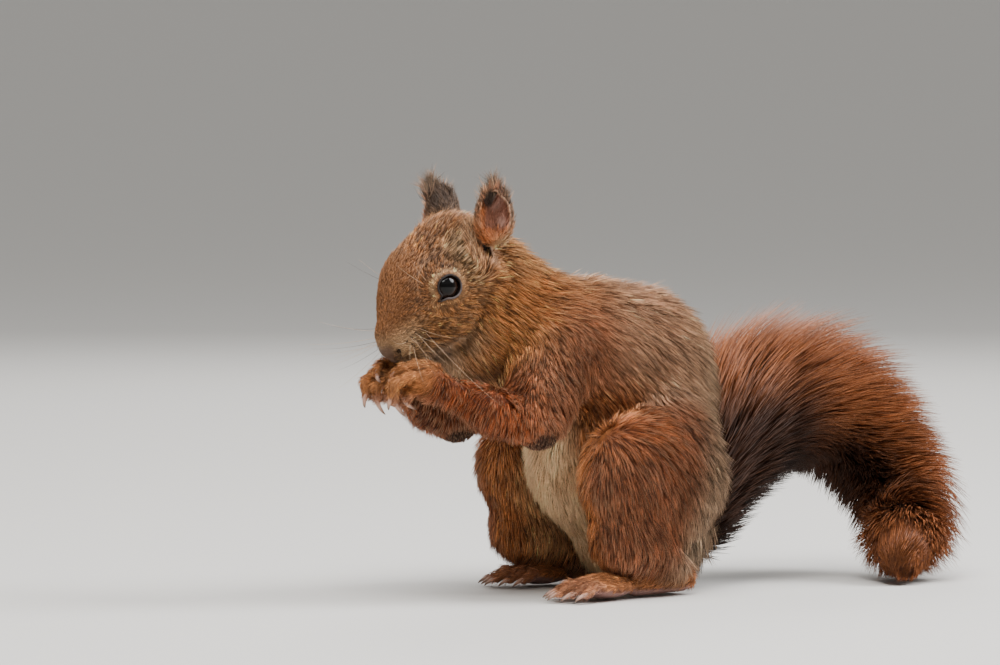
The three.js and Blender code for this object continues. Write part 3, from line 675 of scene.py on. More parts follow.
def put(name, material, slot, points, faces, tint, bake=None):
    """A piece of the animal from points in its own frame: its mesh rides on the body."""
    faces = np.asarray(faces)
    mesh = bpy.data.meshes.new(name)
    mesh.vertices.add(len(points))
    mesh.vertices.foreach_set("co", world(points).astype(np.float32).ravel())
    mesh.loops.add(faces.size)
    mesh.loops.foreach_set("vertex_index", faces.astype(np.int32).ravel())
    mesh.polygons.add(len(faces))
    mesh.polygons.foreach_set("loop_start", np.arange(0, faces.size, faces.shape[1], dtype=np.int32))
    mesh.update(calc_edges=True)
    mesh.shade_smooth()
    rgba = np.ones((len(points), 4), np.float32)
    rgba[:, :3] = tint
    mesh.color_attributes.new("Tint", "FLOAT_COLOR", "POINT").data.foreach_set("color", rgba.ravel())
    if bake is not None:
        mesh.uv_layers.new(name="OFBake").data.foreach_set("uv", np.asarray(bake, np.float32).ravel())
    mesh.materials.append(material)
    piece = placed(name, mesh)
    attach(piece, "root")
    return piece


def new_material(name, **values):
    """A material with its nodes, its links and its shader, whose sockets are set to values."""
    material = bpy.data.materials.new(name)
    material.use_nodes = True
    shader = material.node_tree.nodes["Principled BSDF"]
    for socket, value in values.items():
        shader.inputs[socket.replace("_", " ")].default_value = value
    return material, material.node_tree.nodes, material.node_tree.links, shader


def finish_of(name, rough, specular, grain, vary, bump):
    """A material whose colour is the mesh's own tint, broken up by noise grain metres across."""
    material, nodes, links, shader = new_material(name, Roughness=rough, Specular_IOR_Level=specular)
    tint = nodes.new("ShaderNodeVertexColor")
    tint.layer_name = "Tint"
    place = nodes.new("ShaderNodeTexCoord")
    noise = nodes.new("ShaderNodeTexNoise")
    noise.inputs["Scale"].default_value = 1 / grain
    noise.inputs["Detail"].default_value = 3
    links.new(place.outputs["Object"], noise.inputs["Vector"])
    shade = nodes.new("ShaderNodeMapRange")
    shade.inputs["To Min"].default_value = 1 - vary
    shade.inputs["To Max"].default_value = 1 + vary
    links.new(noise.outputs["Fac"], shade.inputs["Value"])
    mixed = nodes.new("ShaderNodeVectorMath")
    mixed.operation = "SCALE"
    links.new(tint.outputs["Color"], mixed.inputs[0])
    links.new(shade.outputs["Result"], mixed.inputs["Scale"])
    links.new(mixed.outputs["Vector"], shader.inputs["Base Color"])
    relief = nodes.new("ShaderNodeBump")
    relief.inputs["Strength"].default_value = bump
    relief.inputs["Distance"].default_value = 0.0003
    links.new(noise.outputs["Fac"], relief.inputs["Height"])
    links.new(relief.outputs["Normal"], shader.inputs["Normal"])
    return material


FUR = finish_of("fur", rough=0.5, specular=0.3, grain=0.0011, vary=0.3, bump=0.2)
HIDE = finish_of("hide", rough=0.6, specular=0.3, grain=0.0007, vary=0.25, bump=0.6)
HORN = finish_of("horn", rough=0.3, specular=0.5, grain=0.0009, vary=0.3, bump=0.15)
GLOSS = finish_of("eye_gloss", rough=0.03, specular=0.19, grain=0.0012, vary=0.3, bump=0.0)
BRISTLE = finish_of("bristle", rough=0.35, specular=0.5, grain=0.002, vary=0.2, bump=0.0)

# ---------------- the regions of the body
REGIONS = {
    # hair: its length and half width in mm, and tufts for a square mm
    # edge: how softly the region ends, in mm; shade: how bright the skin is, of the coat's colour
    "head": {"hair": (4.5, 0.108, 7.0), "edge": 2.2, "shade": 0.62},
    "trunk": {"hair": (10.0, 0.145, 3.5), "edge": 2.2, "shade": 0.5},
    "leg": {"hair": (8.4, 0.135, 3.6), "edge": 2.2, "shade": 0.45},
    "foot": {"hair": (3.2, 0.12, 6.5), "edge": 1.0, "shade": 0.75},
    "arm": {"hair": (6.8, 0.125, 4.4), "edge": 1.6, "shade": 0.55},
    "hand": {"hair": (2.6, 0.09, 8.0), "edge": 0.6, "shade": 0.8},
    "ear": {"hair": (3.0, 0.08, 8.0), "edge": 0.6, "shade": 0.95},
    "tail": {"hair": (9.0, 0.16, 0.5), "edge": 2.0, "shade": 0.6}}
HEAD, TRUNK, LEG, FOOT, ARM, HAND, EAR, TAIL = range(len(REGIONS))


def column(key):
    """One value of every region."""
    return np.array([region[key] for region in REGIONS.values()])


def shares(points):
    """How much each region owns of each point, adding up to 1."""
    x, y, z = points.T
    away = np.stack([
        face_part(x, y, z) + head_coat(x, z),
        trunk_part(x, y, z) + COAT["trunk"],
        nearest_of(leg_parts, x, y, z) + COAT["leg"],
        nearest_of(foot_parts, x, y, z) + COAT["foot"],
        nearest_of(arm_parts, x, y, z) + arm_coat(x),
        nearest_of(hand_parts, x, y, z) + COAT["bare"],
        nearest_of(ear_parts, x, y, z) + COAT["bare"],
        tail_part(x, y, z)], 1)
    near = away - away.min(1, keepdims=True)
    share = np.exp(-near / column("edge"))
    return share / share.sum(1, keepdims=True)


def ripple(points, size, seed):
    """Smooth noise about -1 to 1 that changes over about size millimetres."""
    rng = np.random.default_rng(seed)
    total = np.zeros(len(points))
    for _ in range(5):
        way = unit(rng.normal(size=3)) * 2 * math.pi / (size * rng.uniform(0.8, 1.7))
        total += np.sin(points @ way + rng.uniform(0, 6.28))
    return total / 2.6


# ---------------- where the markings are
def in_ear(points):
    """How far points lie inside the ears' hollows, and how close they are to the hollows' rims."""
    inside = -nearest_of(both(ear_hollow), *points.T)
    shell = nearest_of(both(ear_leaf), *points.T)
    return inside, np.exp(-(inside / 0.45) ** 2 - (shell / 0.6) ** 2)


def bare_ear(points):
    """Where the ear's inner side is bare: behind its furred front third and above its furred foot."""
    x, _, z = points.T
    inner = ramp(in_ear(points)[0], -0.5, -0.15)
    return inner * ramp(x + 77.2 - (z - 124) * 0.1, -0.9, 0.9) * ramp(z, 125.2, 128)


def by_ear(points):
    """How close points are to an ear's foot, 1 beside it."""
    x, y, z = points.T
    foot_x, foot_y, foot_z = EAR_AT["root"]
    away = np.sqrt((x - foot_x + 1) ** 2 + (np.abs(y) - foot_y) ** 2 + (0.8 * (z - foot_z)) ** 2)
    return ramp(away, 10, 6)


def facing(normals):
    """How much the skin faces forward and down."""
    return -normals[:, 0] * 0.95 - normals[:, 2] * 0.3


def pale_front(points, normals):
    """The pale throat, chest and belly, narrower between the arms."""
    x, y, z = points.T
    half = 15 - 6 * ramp(z, 46, 58)
    behind_chin = ramp(x, -68.5, -73.5) * ramp(11 - np.abs(y), -2, 2)
    high_up = 1 - (1 - behind_chin) * ramp(z, 66, 76)
    return ramp(facing(normals), 0.3, 0.65) * ramp(half - np.abs(y), -4, 3) * high_up


WHISKER_ROWS = [[(31.5 - 2.2 * place - 0.5 * row, -2.1 - 1.5 * row) for place in range(4)]
                for row in range(3)]  # forward and up of each root


def dots(forward, up):
    """The dark dots in rows that the whiskers grow from."""
    dark = np.zeros(len(forward))
    for root_forward, root_up in sum(WHISKER_ROWS, []):
        dark = np.maximum(dark, ramp(np.hypot(forward - root_forward, up - root_up), 0.75, 0.4))
    return dark


def on_toes(points):
    """1 on the toes and 0 on the rest of a foot."""
    x, y, _ = points.T
    return ramp(x - np.where(y < 0, STEP[-1], STEP[1]), -36, -44)


def elbow_away(points):
    """How far points are from the bare spot under the elbow, 1 at its edge."""
    x, y, z = points.T
    return np.hypot((x + 61.5) / 6.2, (z - 54.6) / 4) + 3 * ramp(np.abs(y), 16, 13)


def creases(points):
    """1 where two fingers of a hand meet."""
    deep = np.zeros(len(points))
    for fingers in zip(*finger_parts):
        near = np.sort([finger(*points.T) for finger in fingers], axis=0)
        deep = np.maximum(deep, ramp(near[1], 1.3, 0.1))
    return deep


# ---------------- the colours, of skin and coat alike
FOREHEAD, CHEEK, TEMPLE = swatch(126, 80, 44), swatch(164, 112, 66), swatch(170, 142, 106)
MUZZLE, NOSE, EYE_RING = swatch(180, 146, 108), swatch(96, 66, 48), swatch(206, 166, 120)
THROAT, NAPE, SHOULDER = swatch(184, 156, 128), swatch(214, 158, 106), swatch(172, 114, 80)
BACK, RUMP, RUMP_LOW = swatch(194, 150, 118), swatch(166, 142, 116), swatch(112, 96, 80)
NECK, BELLY, GROIN = swatch(220, 148, 86), swatch(238, 198, 154), swatch(192, 118, 64)
THIGH, THIGH_TOP, ARM_FUR = swatch(148, 90, 60), swatch(172, 98, 54), swatch(156, 98, 66)
FOREARM, PAW, TOE = swatch(150, 74, 34), swatch(192, 126, 74), swatch(158, 120, 112)
EAR_BACK, EAR_EDGE, EAR_BARE = swatch(74, 58, 48), swatch(172, 96, 50), swatch(134, 82, 62)
# the third colour on the next line is painted shade for openings, creases and hollows
EAR_PINK, EAR_RIM, RECESS_SHADE = swatch(176, 134, 118), swatch(226, 186, 150), swatch(40, 24, 20)
TAIL_ROOT, TAIL_MID, TAIL_TIP = swatch(40, 14, 6), swatch(150, 88, 50), swatch(140, 88, 48)
PALE_TIP, DARK_HAIR = swatch(218, 172, 132), swatch(46, 28, 18)
CLAW_ROOT, CLAW_MIDDLE, CLAW_TIP = swatch(208, 164, 144), swatch(184, 144, 124), swatch(104, 80, 66)
PUPIL, IRIS, EYE_EDGE = swatch(6, 5, 5), swatch(30, 17, 11), swatch(10, 7, 6)
# the second colour on the next line is a painted sheen of the lower lid's wet margin
LID, LID_WET_SHEEN = swatch(26, 17, 14), swatch(74, 64, 62)
WHISKER_PALE, WHISKER_DARK = swatch(196, 164, 132), swatch(70, 50, 38)


def painted(tint, *layers):
    """A tint with colours laid over it, each with its share."""
    return reduce(lambda below, layer: mix(below, *layer), layers, tint)


def markings_and_shade(points, normals, share):
    """The colour of the coat where it roots, with painted shade on the arms' inner sides, in the hands'
    creases and round the ears' notches.
    """
    x, y, z = points.T
    side = np.abs(y)
    outward, over = normals[:, 1] * np.sign(y), normals[:, 2]
    forward, up = head_frame(x, z)
    lids = from_lids(forward, up)
    ring = ramp(lids, 0.6, 1.1) * ramp(lids, 2.3, 1.5) * ramp(side, 7, 10)
    ring = ring * (0.45 + 0.55 * ramp(up - EYE_UP - 0.4 * (forward - EYE_FORWARD), -3, 2))
    head = painted(
        FOREHEAD,
        (CHEEK, ramp(-up + side * 0.25, -4, 6)),
        (TEMPLE, ramp(forward, 7, -3) * ramp(side, 7, 12) * ramp(up, -9, -2) * 0.8),
        (CHEEK, ramp(up, -8, -13) * 0.5),
        (MUZZLE, ramp(forward, 21, 29) * ramp(up, 5, -2) * 0.85),
        (THROAT, ramp(up, -9, -14) * ramp(9 - side, -3, 4) * ramp(over, 0.2, -0.5)),
        (NOSE, ramp(forward, 34.2, 36.4) * ramp(up, 1.5, -1.5) * 0.9),
        (EYE_RING, ring * 0.62),
        (FOREHEAD, ramp(lids, 1.0, 0.5) * ramp(lids, 0, 0.3) * ramp(side, 7, 10) * 0.6),
        (NAPE, ramp(forward, -10, -20) * ramp(up, -4, 6) * 0.7),
        (EAR_EDGE, by_ear(points) * 0.45),
        # hair darkened round the ears' notches: painted shade at the bottom of the ear's cup
        (DARK_HAIR, ramp(nearest_of(slit_cuts, x, y, z), 1.3, 0.2) * 0.85),
        (DARK_HAIR * 0.7, dots(forward, up) * ramp(side, 5, 7)))

    pale = pale_front(points, normals)
    trunk = painted(
        NAPE,
        (NECK, ramp(side, 5, 14) * ramp(z, 118, 106)),
        (SHOULDER, ramp(x - 0.2 * side, -68, -46) * ramp(z, 114, 94)),
        (BACK, ramp(x, -40, -18)),
        (RUMP, ramp(x - z * 0.45, -48, -14)),
        (RUMP_LOW, ramp(x - z * 0.5, -12, 14) * 0.8),
        (GROIN, ramp(facing(normals), -0.2, 0.3) * ramp(x, -8, -22) * ramp(z, 84, 66) * 0.85))
    trunk = painted(
        trunk * (1 - 0.18 * ramp(over, 0.5, 0.95))[:, None],
        (BELLY, pale * ramp(z, 97, 86)),
        (THROAT, pale * ramp(z, 78, 88)))

    inner = ramp(outward, 0.35, -0.3) * ramp(z, 8, 18)
    leg = painted(
        THIGH,
        (THIGH_TOP, ramp(over, 0.1, 0.8) * ramp(x, -5, -25)),
        (RUMP, ramp(x - 0.25 * z, -20, -6) * 0.85),
        (RUMP_LOW, ramp(x - 0.25 * z, -12, 6) * 0.6),
        (GROIN, inner * 0.85),
        (BELLY * (1, 0.86, 0.72),
         inner * ramp(22 - side, -3, 4) * ramp(x + 50 - (43 - z) * 0.7, -4, 4) * 0.6))
    foot = painted(THIGH, (PAW, 0.6), (TOE, np.maximum(on_toes(points) * 0.2, ramp(over, -0.3, -0.7))))
    # the arms' inner sides are darker: painted shade
    arm = painted(ARM_FUR, (FOREARM, ramp(x, -58, -72)), (FOREARM * 0.35, ramp(outward, 0, -0.6) * 0.85))
    hand = painted(
        PAW,
        (TOE, ramp(z, 73, 70) * 0.4),
        # the fingertips' inner sides and the creases between the fingers are darkened: painted shade
        (RECESS_SHADE, ramp(side, 6.0, 3.0) * ramp(x, -112, -106) * 0.5),
        (RECESS_SHADE, creases(points) * 0.75))

    deep, rim = in_ear(points)
    bare = bare_ear(points)
    ear = painted(
        EAR_BACK,
        (EAR_EDGE, ramp(x + 73, 0, -3) * ramp((z - 119) / 24, 0.85, 0.2) * ramp(outward, -0.6, 0.2)),
        (FOREHEAD * 1.15, ramp(z, 133, 125) * 0.8),
        (EAR_EDGE, ramp(deep, -0.5, 0) * 0.8),
        (EAR_EDGE, ramp(z, 131, 122) * ramp(x, -73, -78) * 0.9),
        (TEMPLE, ramp(z, 126, 121) * ramp(x, -77, -73) * 0.7),
        (EAR_BARE * 0.8, bare),
        (EAR_PINK, bare * ramp(ripple(points, 5, 17), -0.1, 0.7) * 0.6),
        (EAR_RIM, rim * ramp(z, 126, 129) * 0.85))

    tail = np.broadcast_to(TAIL_ROOT, points.shape)
    layers = np.stack([head, trunk, leg, foot, arm, hand, ear, tail], 1)
    tint = (layers * share[:, :, None]).sum(1)
    tint = mix(tint, DARK_HAIR, ramp(elbow_away(points), 1.1, 0.6) * 0.85)
    return np.clip(tint * (1 + 0.12 * ripple(points, 9, 3)[:, None]), 0, 1)


def skin_tint(points, normals, share):
    """The bare skin's colour: the markings in the shade of the coat, and painted shade darkening the
    openings.
    """
    tint = markings_and_shade(points, normals, share) * (share @ column("shade"))[:, None]
    reaches = [0.25, 0.35, 0.35, 0.6, 0.6]
    # painted shade inside the mouth, nostrils, ears' notches and lids
    for cut, reach in zip([mouth_cut, *nostril_cuts, *slit_cuts], reaches):
        tint = mix(tint, RECESS_SHADE * 0.4, ramp(-cut(*points.T), -reach, 0.05))
    for cut in lid_cuts:
        tint = mix(tint, RECESS_SHADE * 0.3, ramp(cut(*points.T), 0.55, 0.1))
    return tint


# ---------------- the skin
GRID = [spaced([(-126, -60, 0.62), (-60, 36, 1.25), (36, 124, 2.2)]),
        spaced([(-58, -26, 1.25), (-26, 26, 0.65), (26, 50, 1.25)]),
        spaced([(-1.3, 60, 1.25), (60, 152, 0.65)])]
skin_points, skin_faces = surface_nets(GRID, sample(GRID, skin_field))
skin_slope = slopes(skin_field, skin_points)  # one step of Newton's brings the points onto the surface
steep = np.maximum((skin_slope ** 2).sum(1), 0.25)
move = np.clip(skin_field(*skin_points.T) / steep, -0.5, 0.5)
skin_points = skin_points - skin_slope * move[:, None]
skin_normals = unit(slopes(skin_field, skin_points, 0.25))
skin_share = shares(skin_points)
skin = put("skin", HIDE, "skin", skin_points, skin_faces, skin_tint(skin_points, skin_normals, skin_share))
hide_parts(*(name for name in frame["nodes"] if not name.startswith("eye")))


# ---------------- the lie and size of the coat
UP = np.array([0, 0, 1.0])


def lie(points, normals, share):
    """The direction in which the hair lies, along the skin."""
    x, y, z = points.T
    side, none = np.clip(y / 5, -1, 1), 0 * x
    forward, up = head_frame(x, z)
    flow = np.zeros((len(points), len(REGIONS), 3))

    def turn(region, way, by):
        flow[:, region] = mix(flow[:, region], way, by)
    back = np.array([PITCH_COS, 0, PITCH_SIN])
    flow[:, HEAD] = back - UP * (ramp(up, 5, -8) * 0.7)[:, None]
    flow[:, HEAD, 1] += side * 0.25 * ramp(forward, 8, 26)
    from_eye = np.stack([forward - EYE_FORWARD - 1.5, up - EYE_UP], 1)
    radial = unit(from_eye)
    out = radial[:, :1] * -back + radial[:, 1:] * np.array([-PITCH_SIN, 0, PITCH_COS])
    turn(HEAD, out + 0.35 * back, ramp(np.linalg.norm(from_eye, axis=1), 11, 6) * ramp(np.abs(y), 6, 9))
    turn(HEAD, back * 0.6 - UP, ramp(up, -9, -15))
    turn(HEAD, np.stack([0.1 * (x - EAR_AT["root"][0]), side * 0.35, none + 1], 1), by_ear(points))

    flow[:, TRUNK, 0] = 1.35 - 0.55 * ramp(x, -60, -15) - 0.5 * ramp(x - 0.5 * z, -30, 10)
    flow[:, TRUNK, 1] = side * 0.12
    flow[:, [TRUNK, LEG, ARM], 2] = -1
    front = ramp(normals[:, 0], -0.2, -0.6) * ramp(z, 95, 80)
    turn(TRUNK, np.stack([none, side * 0.22, none - 1], 1), front)
    flow[:, LEG, 0] = 0.3 + 0.6 * ramp(normals[:, 2], 0.2, 0.9) - 0.7 * ramp(z, 26, 12)
    flow[:, FOOT] = (-1, 0, -0.2)
    flow[:, ARM, 0] = 0.15 - 0.65 * ramp(x, -56, -86)
    flow[:, HAND, 0], flow[:, HAND, 2] = -1, -0.3 - 1.5 * ramp(x, -107, -111)
    flow[:, EAR] = UP
    flow[:, EAR, 0] = 0.16 * (x - EAR_AT["middle"][0]) - 0.25 * ramp(z, 130, 140) * ripple(points, 4, 19)
    flow[:, EAR, 1] = side * 0.12
    flow[:, TAIL] = (0.4, 0, 0.7)
    way = (flow * share[:, :, None]).sum(1)
    way += 0.1 * np.stack([ripple(points, 14, seed) for seed in (11, 12, 13)], 1)
    way -= normals * (way * normals).sum(1, keepdims=True)
    return unit(way)


def sizes(points, normals, share):
    """Length, half width and depth of the coat where it roots."""
    long, half = (share @ column("hair")[:, :2]).T
    x, y, z = points.T
    forward, up = head_frame(x, z)
    on_head, on_trunk, on_ear = share[:, HEAD], share[:, TRUNK], share[:, EAR]
    throat = pale_front(points, normals) * on_trunk * ramp(z, 70, 80)
    near_eye = ramp(from_lids(forward, up), 6, 0.6) * ramp(np.abs(y), 7, 9) * on_head
    for change in (
            -on_head * 0.62 * ramp(forward, 4, 30),
            on_head * 0.35 * ramp(forward, 2, -14),
            -on_head * 0.25 * ramp(forward, 30, 35),
            -0.72 * near_eye,
            0.3 * on_trunk * ramp(x - z * 0.45, -30, 5),
            1.9 * on_ear * ramp(z, 133, 139),
            0.8 * on_head * by_ear(points),
            -0.8 * ramp(nearest_of(slit_cuts, x, y, z), 6, 1),
            -0.7 * ramp(elbow_away(points), 2.2, 0.9),
            -0.55 * on_head * dots(forward, up),
            -0.6 * throat,
            1.1 * on_head * ramp(up, -8, -10.5) * ramp(forward, 10, 16) * ramp(forward, 30, 26)):
        long = long * (1 + change)
    half = half * (1 + 0.1 * on_head * ramp(forward, 4, 20)) * (1 - 0.35 * throat)
    depths = np.broadcast_arrays(
        head_coat(x, z), trunk_coat(x, z), COAT["leg"], 0.5, arm_coat(x), 0.7, 0.7, 4)
    return long, half, (np.stack(depths, 1) * share).sum(1)


def spread(points, faces, normals, density, rng):
    """Roots strewn over triangles, density of them to a square millimetre."""
    corners = points[faces]
    area = np.linalg.norm(np.cross(corners[:, 1] - corners[:, 0], corners[:, 2] - corners[:, 0]), axis=1) / 2
    run = np.cumsum(area * density[faces].mean(1))
    total = int(run[-1])
    picks = (np.arange(total) + rng.uniform(0, 1, total)) * run[-1] / total
    face = np.minimum(np.searchsorted(run, picks), len(faces) - 1)
    a, b = rng.uniform(0, 1, (2, total))
    flip = a + b > 1
    a[flip], b[flip] = 1 - a[flip], 1 - b[flip]
    share = np.stack([1 - a - b, a, b], 1)[:, :, None]
    return (corners[face] * share).sum(1), unit((normals[faces[face]] * share).sum(1))


def roots_of_coat(rng):
    """Roots over the whole skin, less its openings, soles and pads."""
    x, y, z = skin_points.T
    forward, up = head_frame(x, z)
    on_head = skin_share[:, HEAD]
    density = skin_share @ column("hair")[:, 2]
    density *= 1 + 0.2 * on_head * ramp(forward, 6, 26)
    density *= 1 - ramp(skin_normals[:, 2], -0.35, -0.6) * ramp(z, 12, 8)  # the soles
    density *= 1 - 0.9 * on_head * ramp(forward, 35.2, 36.6) * ramp(up, 1, -1)  # the nose's pad
    density *= 1 - 0.88 * bare_ear(skin_points) * skin_share[:, EAR]
    density *= 1 - 0.3 * skin_share[:, HAND] * ramp(x, -106, -111)
    density *= 1 - 0.35 * skin_share[:, FOOT] * on_toes(skin_points)
    for cut in openings:
        density *= ramp(cut(x, y, z), 0.05, 0.4)
    density *= ramp(nearest_of(slit_cuts, x, y, z), 0.3, 1.6)
    return spread(skin_points, halves(skin_faces), skin_normals, density, rng)


def clumps(roots, every, rng):
    """For each root the index of the clump's middle that it leans to."""
    middles = rng.choice(len(roots), max(1, len(roots) // every), replace=False)
    tree = kdtree.KDTree(len(middles))
    for i, index in enumerate(middles):
        tree.insert(roots[index], i)
    tree.balance()
    return middles[np.array([tree.find(root)[1] for root in roots])]


# ---------------- tufts
PATCH = 0.003  # how wide each tuft is on the map that its colours are baked to


def tufts(name, slot, paths, half, tints, places, flat=0.6):
    """A piece of tapered hairs, each closed, with its root, rings of three and a tip."""
    count, stations, _ = paths.shape
    rings = stations - 2
    tints = np.clip(tints, 0, 1)
    ways = unit(paths[:, 2:] - paths[:, :-2])
    across = unit(np.cross(ways, unit(paths[:, -1:] - paths[:, :1]) + np.array([0.31, 0.17, 0.93])))
    over = np.cross(across, ways)
    corners = []
    for k in range(3):
        turn = 2 * math.pi * k / 3
        away = across * math.cos(turn) + over * math.sin(turn) * flat
        corners.append(paths[:, 1:-1] + away * half[..., None])
    ring = np.stack(corners, 2).reshape(count, rings * 3, 3)
    points = np.concatenate([paths[:, :1], ring, paths[:, -1:]], 1)
    colour = np.concatenate([tints[:, :1], np.repeat(tints[:, 1:-1], 3, 1), tints[:, -1:]], 1)
    faces, bake = [], []
    last, tip = 1 + (rings - 1) * 3, 1 + rings * 3
    for k in range(3):
        following = (k + 1) % 3
        faces.append((0, 1 + following, 1 + k))
        bake.append(((k + 0.5, 0), (k + 1, 1), (k, 1)))
        for r in range(rings - 1):
            low, high = 1 + 3 * r, 4 + 3 * r
            faces += [(low + k, low + following, high + k), (low + following, high + following, high + k)]
            bake += [((k, r + 1), (k + 1, r + 1), (k, r + 2)), ((k + 1, r + 1), (k + 1, r + 2), (k, r + 2))]
        faces.append((last + k, last + following, tip))
        bake.append(((k, rings), (k + 1, rings), (k + 0.5, rings + 1)))
    bake = np.array(bake, float) / (3, rings + 1) * PATCH
    every = np.array(faces)[None] + points.shape[1] * np.arange(count)[:, None, None]
    places = 0.01 + 0.98 * (places - places.min(0)) / (np.ptp(places, axis=0) + 1e-9) * (1 - PATCH)
    maps = bake[None] + places[:, None, None]
    flat_lists = (array.reshape(-1, array.shape[-1]) for array in (points, every, colour, maps))
    return put(name, FUR, slot, *flat_lists)


def unwrapped(points, start, end):
    """The turn round an axis and the way along it, for a map of a part's skin."""
    start, end = np.array(start, float), np.array(end, float)
    axis = unit(end - start)
    over = unit(np.cross(axis, (0, 1, 0.01)))
    across = np.cross(over, axis)
    away = points - start
    return np.stack([np.arctan2(away @ across, away @ over), away @ axis], 1)


# ---------------- the short coat
SUNK = 0.25  # how deep a hair roots under the skin
SLEEK, SHAGGY = (5, (0.1, 0.35)), (6, (0.12, 0.48))  # hairs to a clump, and how far they lean together
MOST = 33000  # tufts in one piece


def coat(name, roots, normals, clumping, axis, slot, rng):
    """The short coat of one part of the body."""
    share = shares(roots)
    way = lie(roots, normals, share)
    long, half, depth = sizes(roots, normals, share)
    count = len(roots)
    long = long * rng.uniform(0.72, 1.12, count)
    lift = np.clip(depth / (0.86 * long), 0.1, 0.62) * rng.uniform(0.7, 1.15, count)
    every, pull = clumping
    middle = clumps(roots, every, rng)
    own = rng.normal(0, 1, (count, 3))
    way = unit(way + 0.05 * own + 0.07 * own[middle])
    lift = lift * (1 + 0.22 * own[middle, 0])

    def step(reach, rise):
        return (way * np.cos(rise)[:, None] + normals * np.sin(rise)[:, None]) * (long * reach)[:, None]
    bend = roots + step(0.45, lift * 1.3)
    tip = bend + step(0.55, lift * 0.45)
    held = rng.uniform(*pull, count)[middle] * rng.uniform(0.6, 1.0, count)
    bend = mix(bend, bend[middle] + (roots - roots[middle]) * 0.75, held * 0.5)
    tip = mix(tip, tip[middle] + (roots - roots[middle]) * 0.3, held)
    bend[:, 2] = np.maximum(bend[:, 2], 0.5)
    tip[:, 2] = np.maximum(tip[:, 2], 0.35)

    kind = rng.uniform(0, 1, count)
    calm = 1 - 0.75 * pale_front(roots, normals) * share[:, [TRUNK, HEAD]].sum(1)
    tone = np.exp((rng.normal(0, 0.26, count) + (0.3 + 0.3 * share[:, HEAD]) * own[middle, 1]) * calm)
    tint = markings_and_shade(roots, normals, share) * tone[:, None]
    forward, up = head_frame(roots[:, 0], roots[:, 2])
    furry = (1 - share[:, [FOOT, HAND, EAR]].sum(1) * 0.6) * calm * (1 - dots(forward, up) * share[:, HEAD])
    dark = (kind < 0.2) * 0.85 * furry
    pale = np.where(kind > 0.7, 0.78, 0.1) * furry
    tip_tint = painted(tint * 1.3, (PALE_TIP, pale), (DARK_HAIR, dark))
    # the roots at 0.45 of the tint: painted shade deep among the hairs
    tints = np.stack([tint * 0.45, mix(tint, DARK_HAIR, dark), tip_tint], 1)
    half = half[:, None] * rng.uniform(0.75, 1.25, (count, 1))
    tufts(name, slot, np.stack([roots - normals * SUNK, bend, tip], 1), half, tints, unwrapped(roots, *axis))


rng = np.random.default_rng(7)
coat_roots, coat_normals = roots_of_coat(rng)
order = rng.permutation(len(coat_roots))
coat_roots, coat_normals = coat_roots[order], coat_normals[order]
owner = shares(coat_roots).argmax(1)
root_x, root_y, root_z = coat_roots.T
left, on_trunk = root_y < 0, owner == TRUNK
belly_part = on_trunk & (facing(coat_normals) > 0.1) & (root_z < 90)
neck_part = on_trunk & ~belly_part & (root_x < -44)
rump_part = on_trunk & ~belly_part & ~neck_part & (root_x - 0.5 * root_z > -26)
side_part = on_trunk & ~belly_part & ~neck_part & ~rump_part
coat_parts = {  # its roots, clumping, the axis from and to that its map runs round, and slot
    "head": (owner == HEAD, SLEEK, (head_point(-15, 0, 0), head_point(30, 0, 0)), "fur_head"),
    "ears": (owner == EAR, SLEEK, ((-73, 0, 110), (-75, 0, 145)), "fur_ear"),
    "breast": (belly_part, SHAGGY, ((-30, 0, 90), (-20, 0, 10)), "fur_russet"),
    "neck": (neck_part, SHAGGY, ((-80, 0, 105), (-40, 0, 92)), "fur_russet"),
    "flank_left": (side_part & left, SHAGGY, ((-40, 0, 92), (0, 0, 30)), "fur_back"),
    "flank_right": (side_part & ~left, SHAGGY, ((-40, 0, 92), (0, 0, 30)), "fur_back"),
    "rump": (rump_part | (owner == TAIL), SHAGGY, ((-5, 0, 90), (5, 0, 0)), "fur_back"),
    "leg_left": ((owner == LEG) & left, SHAGGY, ((-15, -27, 70), (-20, -28, 0)), "fur_russet"),
    "leg_right": ((owner == LEG) & ~left, SHAGGY, ((-15, 27, 70), (-20, 28, 0)), "fur_russet"),
    "foot_left": ((owner == FOOT) & left, SLEEK, ((0, -26, 6), (-55, -30, 4)), "fur_foot"),
    "foot_right": ((owner == FOOT) & ~left, SLEEK, ((12, 26, 6), (-42, 30, 4)), "fur_foot"),
    "arm_left": ((owner == ARM) & left, SHAGGY, ((-47, -13, 84), (-98, -10, 76)), "fur_russet"),
    "arm_right": ((owner == ARM) & ~left, SHAGGY, ((-47, 13, 84), (-98, 10, 76)), "fur_russet"),
    "hand_left": ((owner == HAND) & left, SLEEK, ((-92, -9, 76), (-114, -8, 74)), "fur_hand"),
    "hand_right": ((owner == HAND) & ~left, SLEEK, ((-92, 9, 76), (-112, 8, 74)), "fur_hand")}
for part, (mine, clumping, axis, slot) in coat_parts.items():
    mine = np.flatnonzero(mine)
    pieces = max(1, math.ceil(len(mine) / MOST))
    along = unwrapped(coat_roots[mine], *axis)[:, 1]
    for number, some in enumerate(np.array_split(mine[np.argsort(along, kind="stable")], pieces)):
        name = f"coat_{part}" if pieces == 1 else f"coat_{part}_{number + 1}"
        coat(name, coat_roots[some], coat_normals[some], clumping, axis, slot, rng)


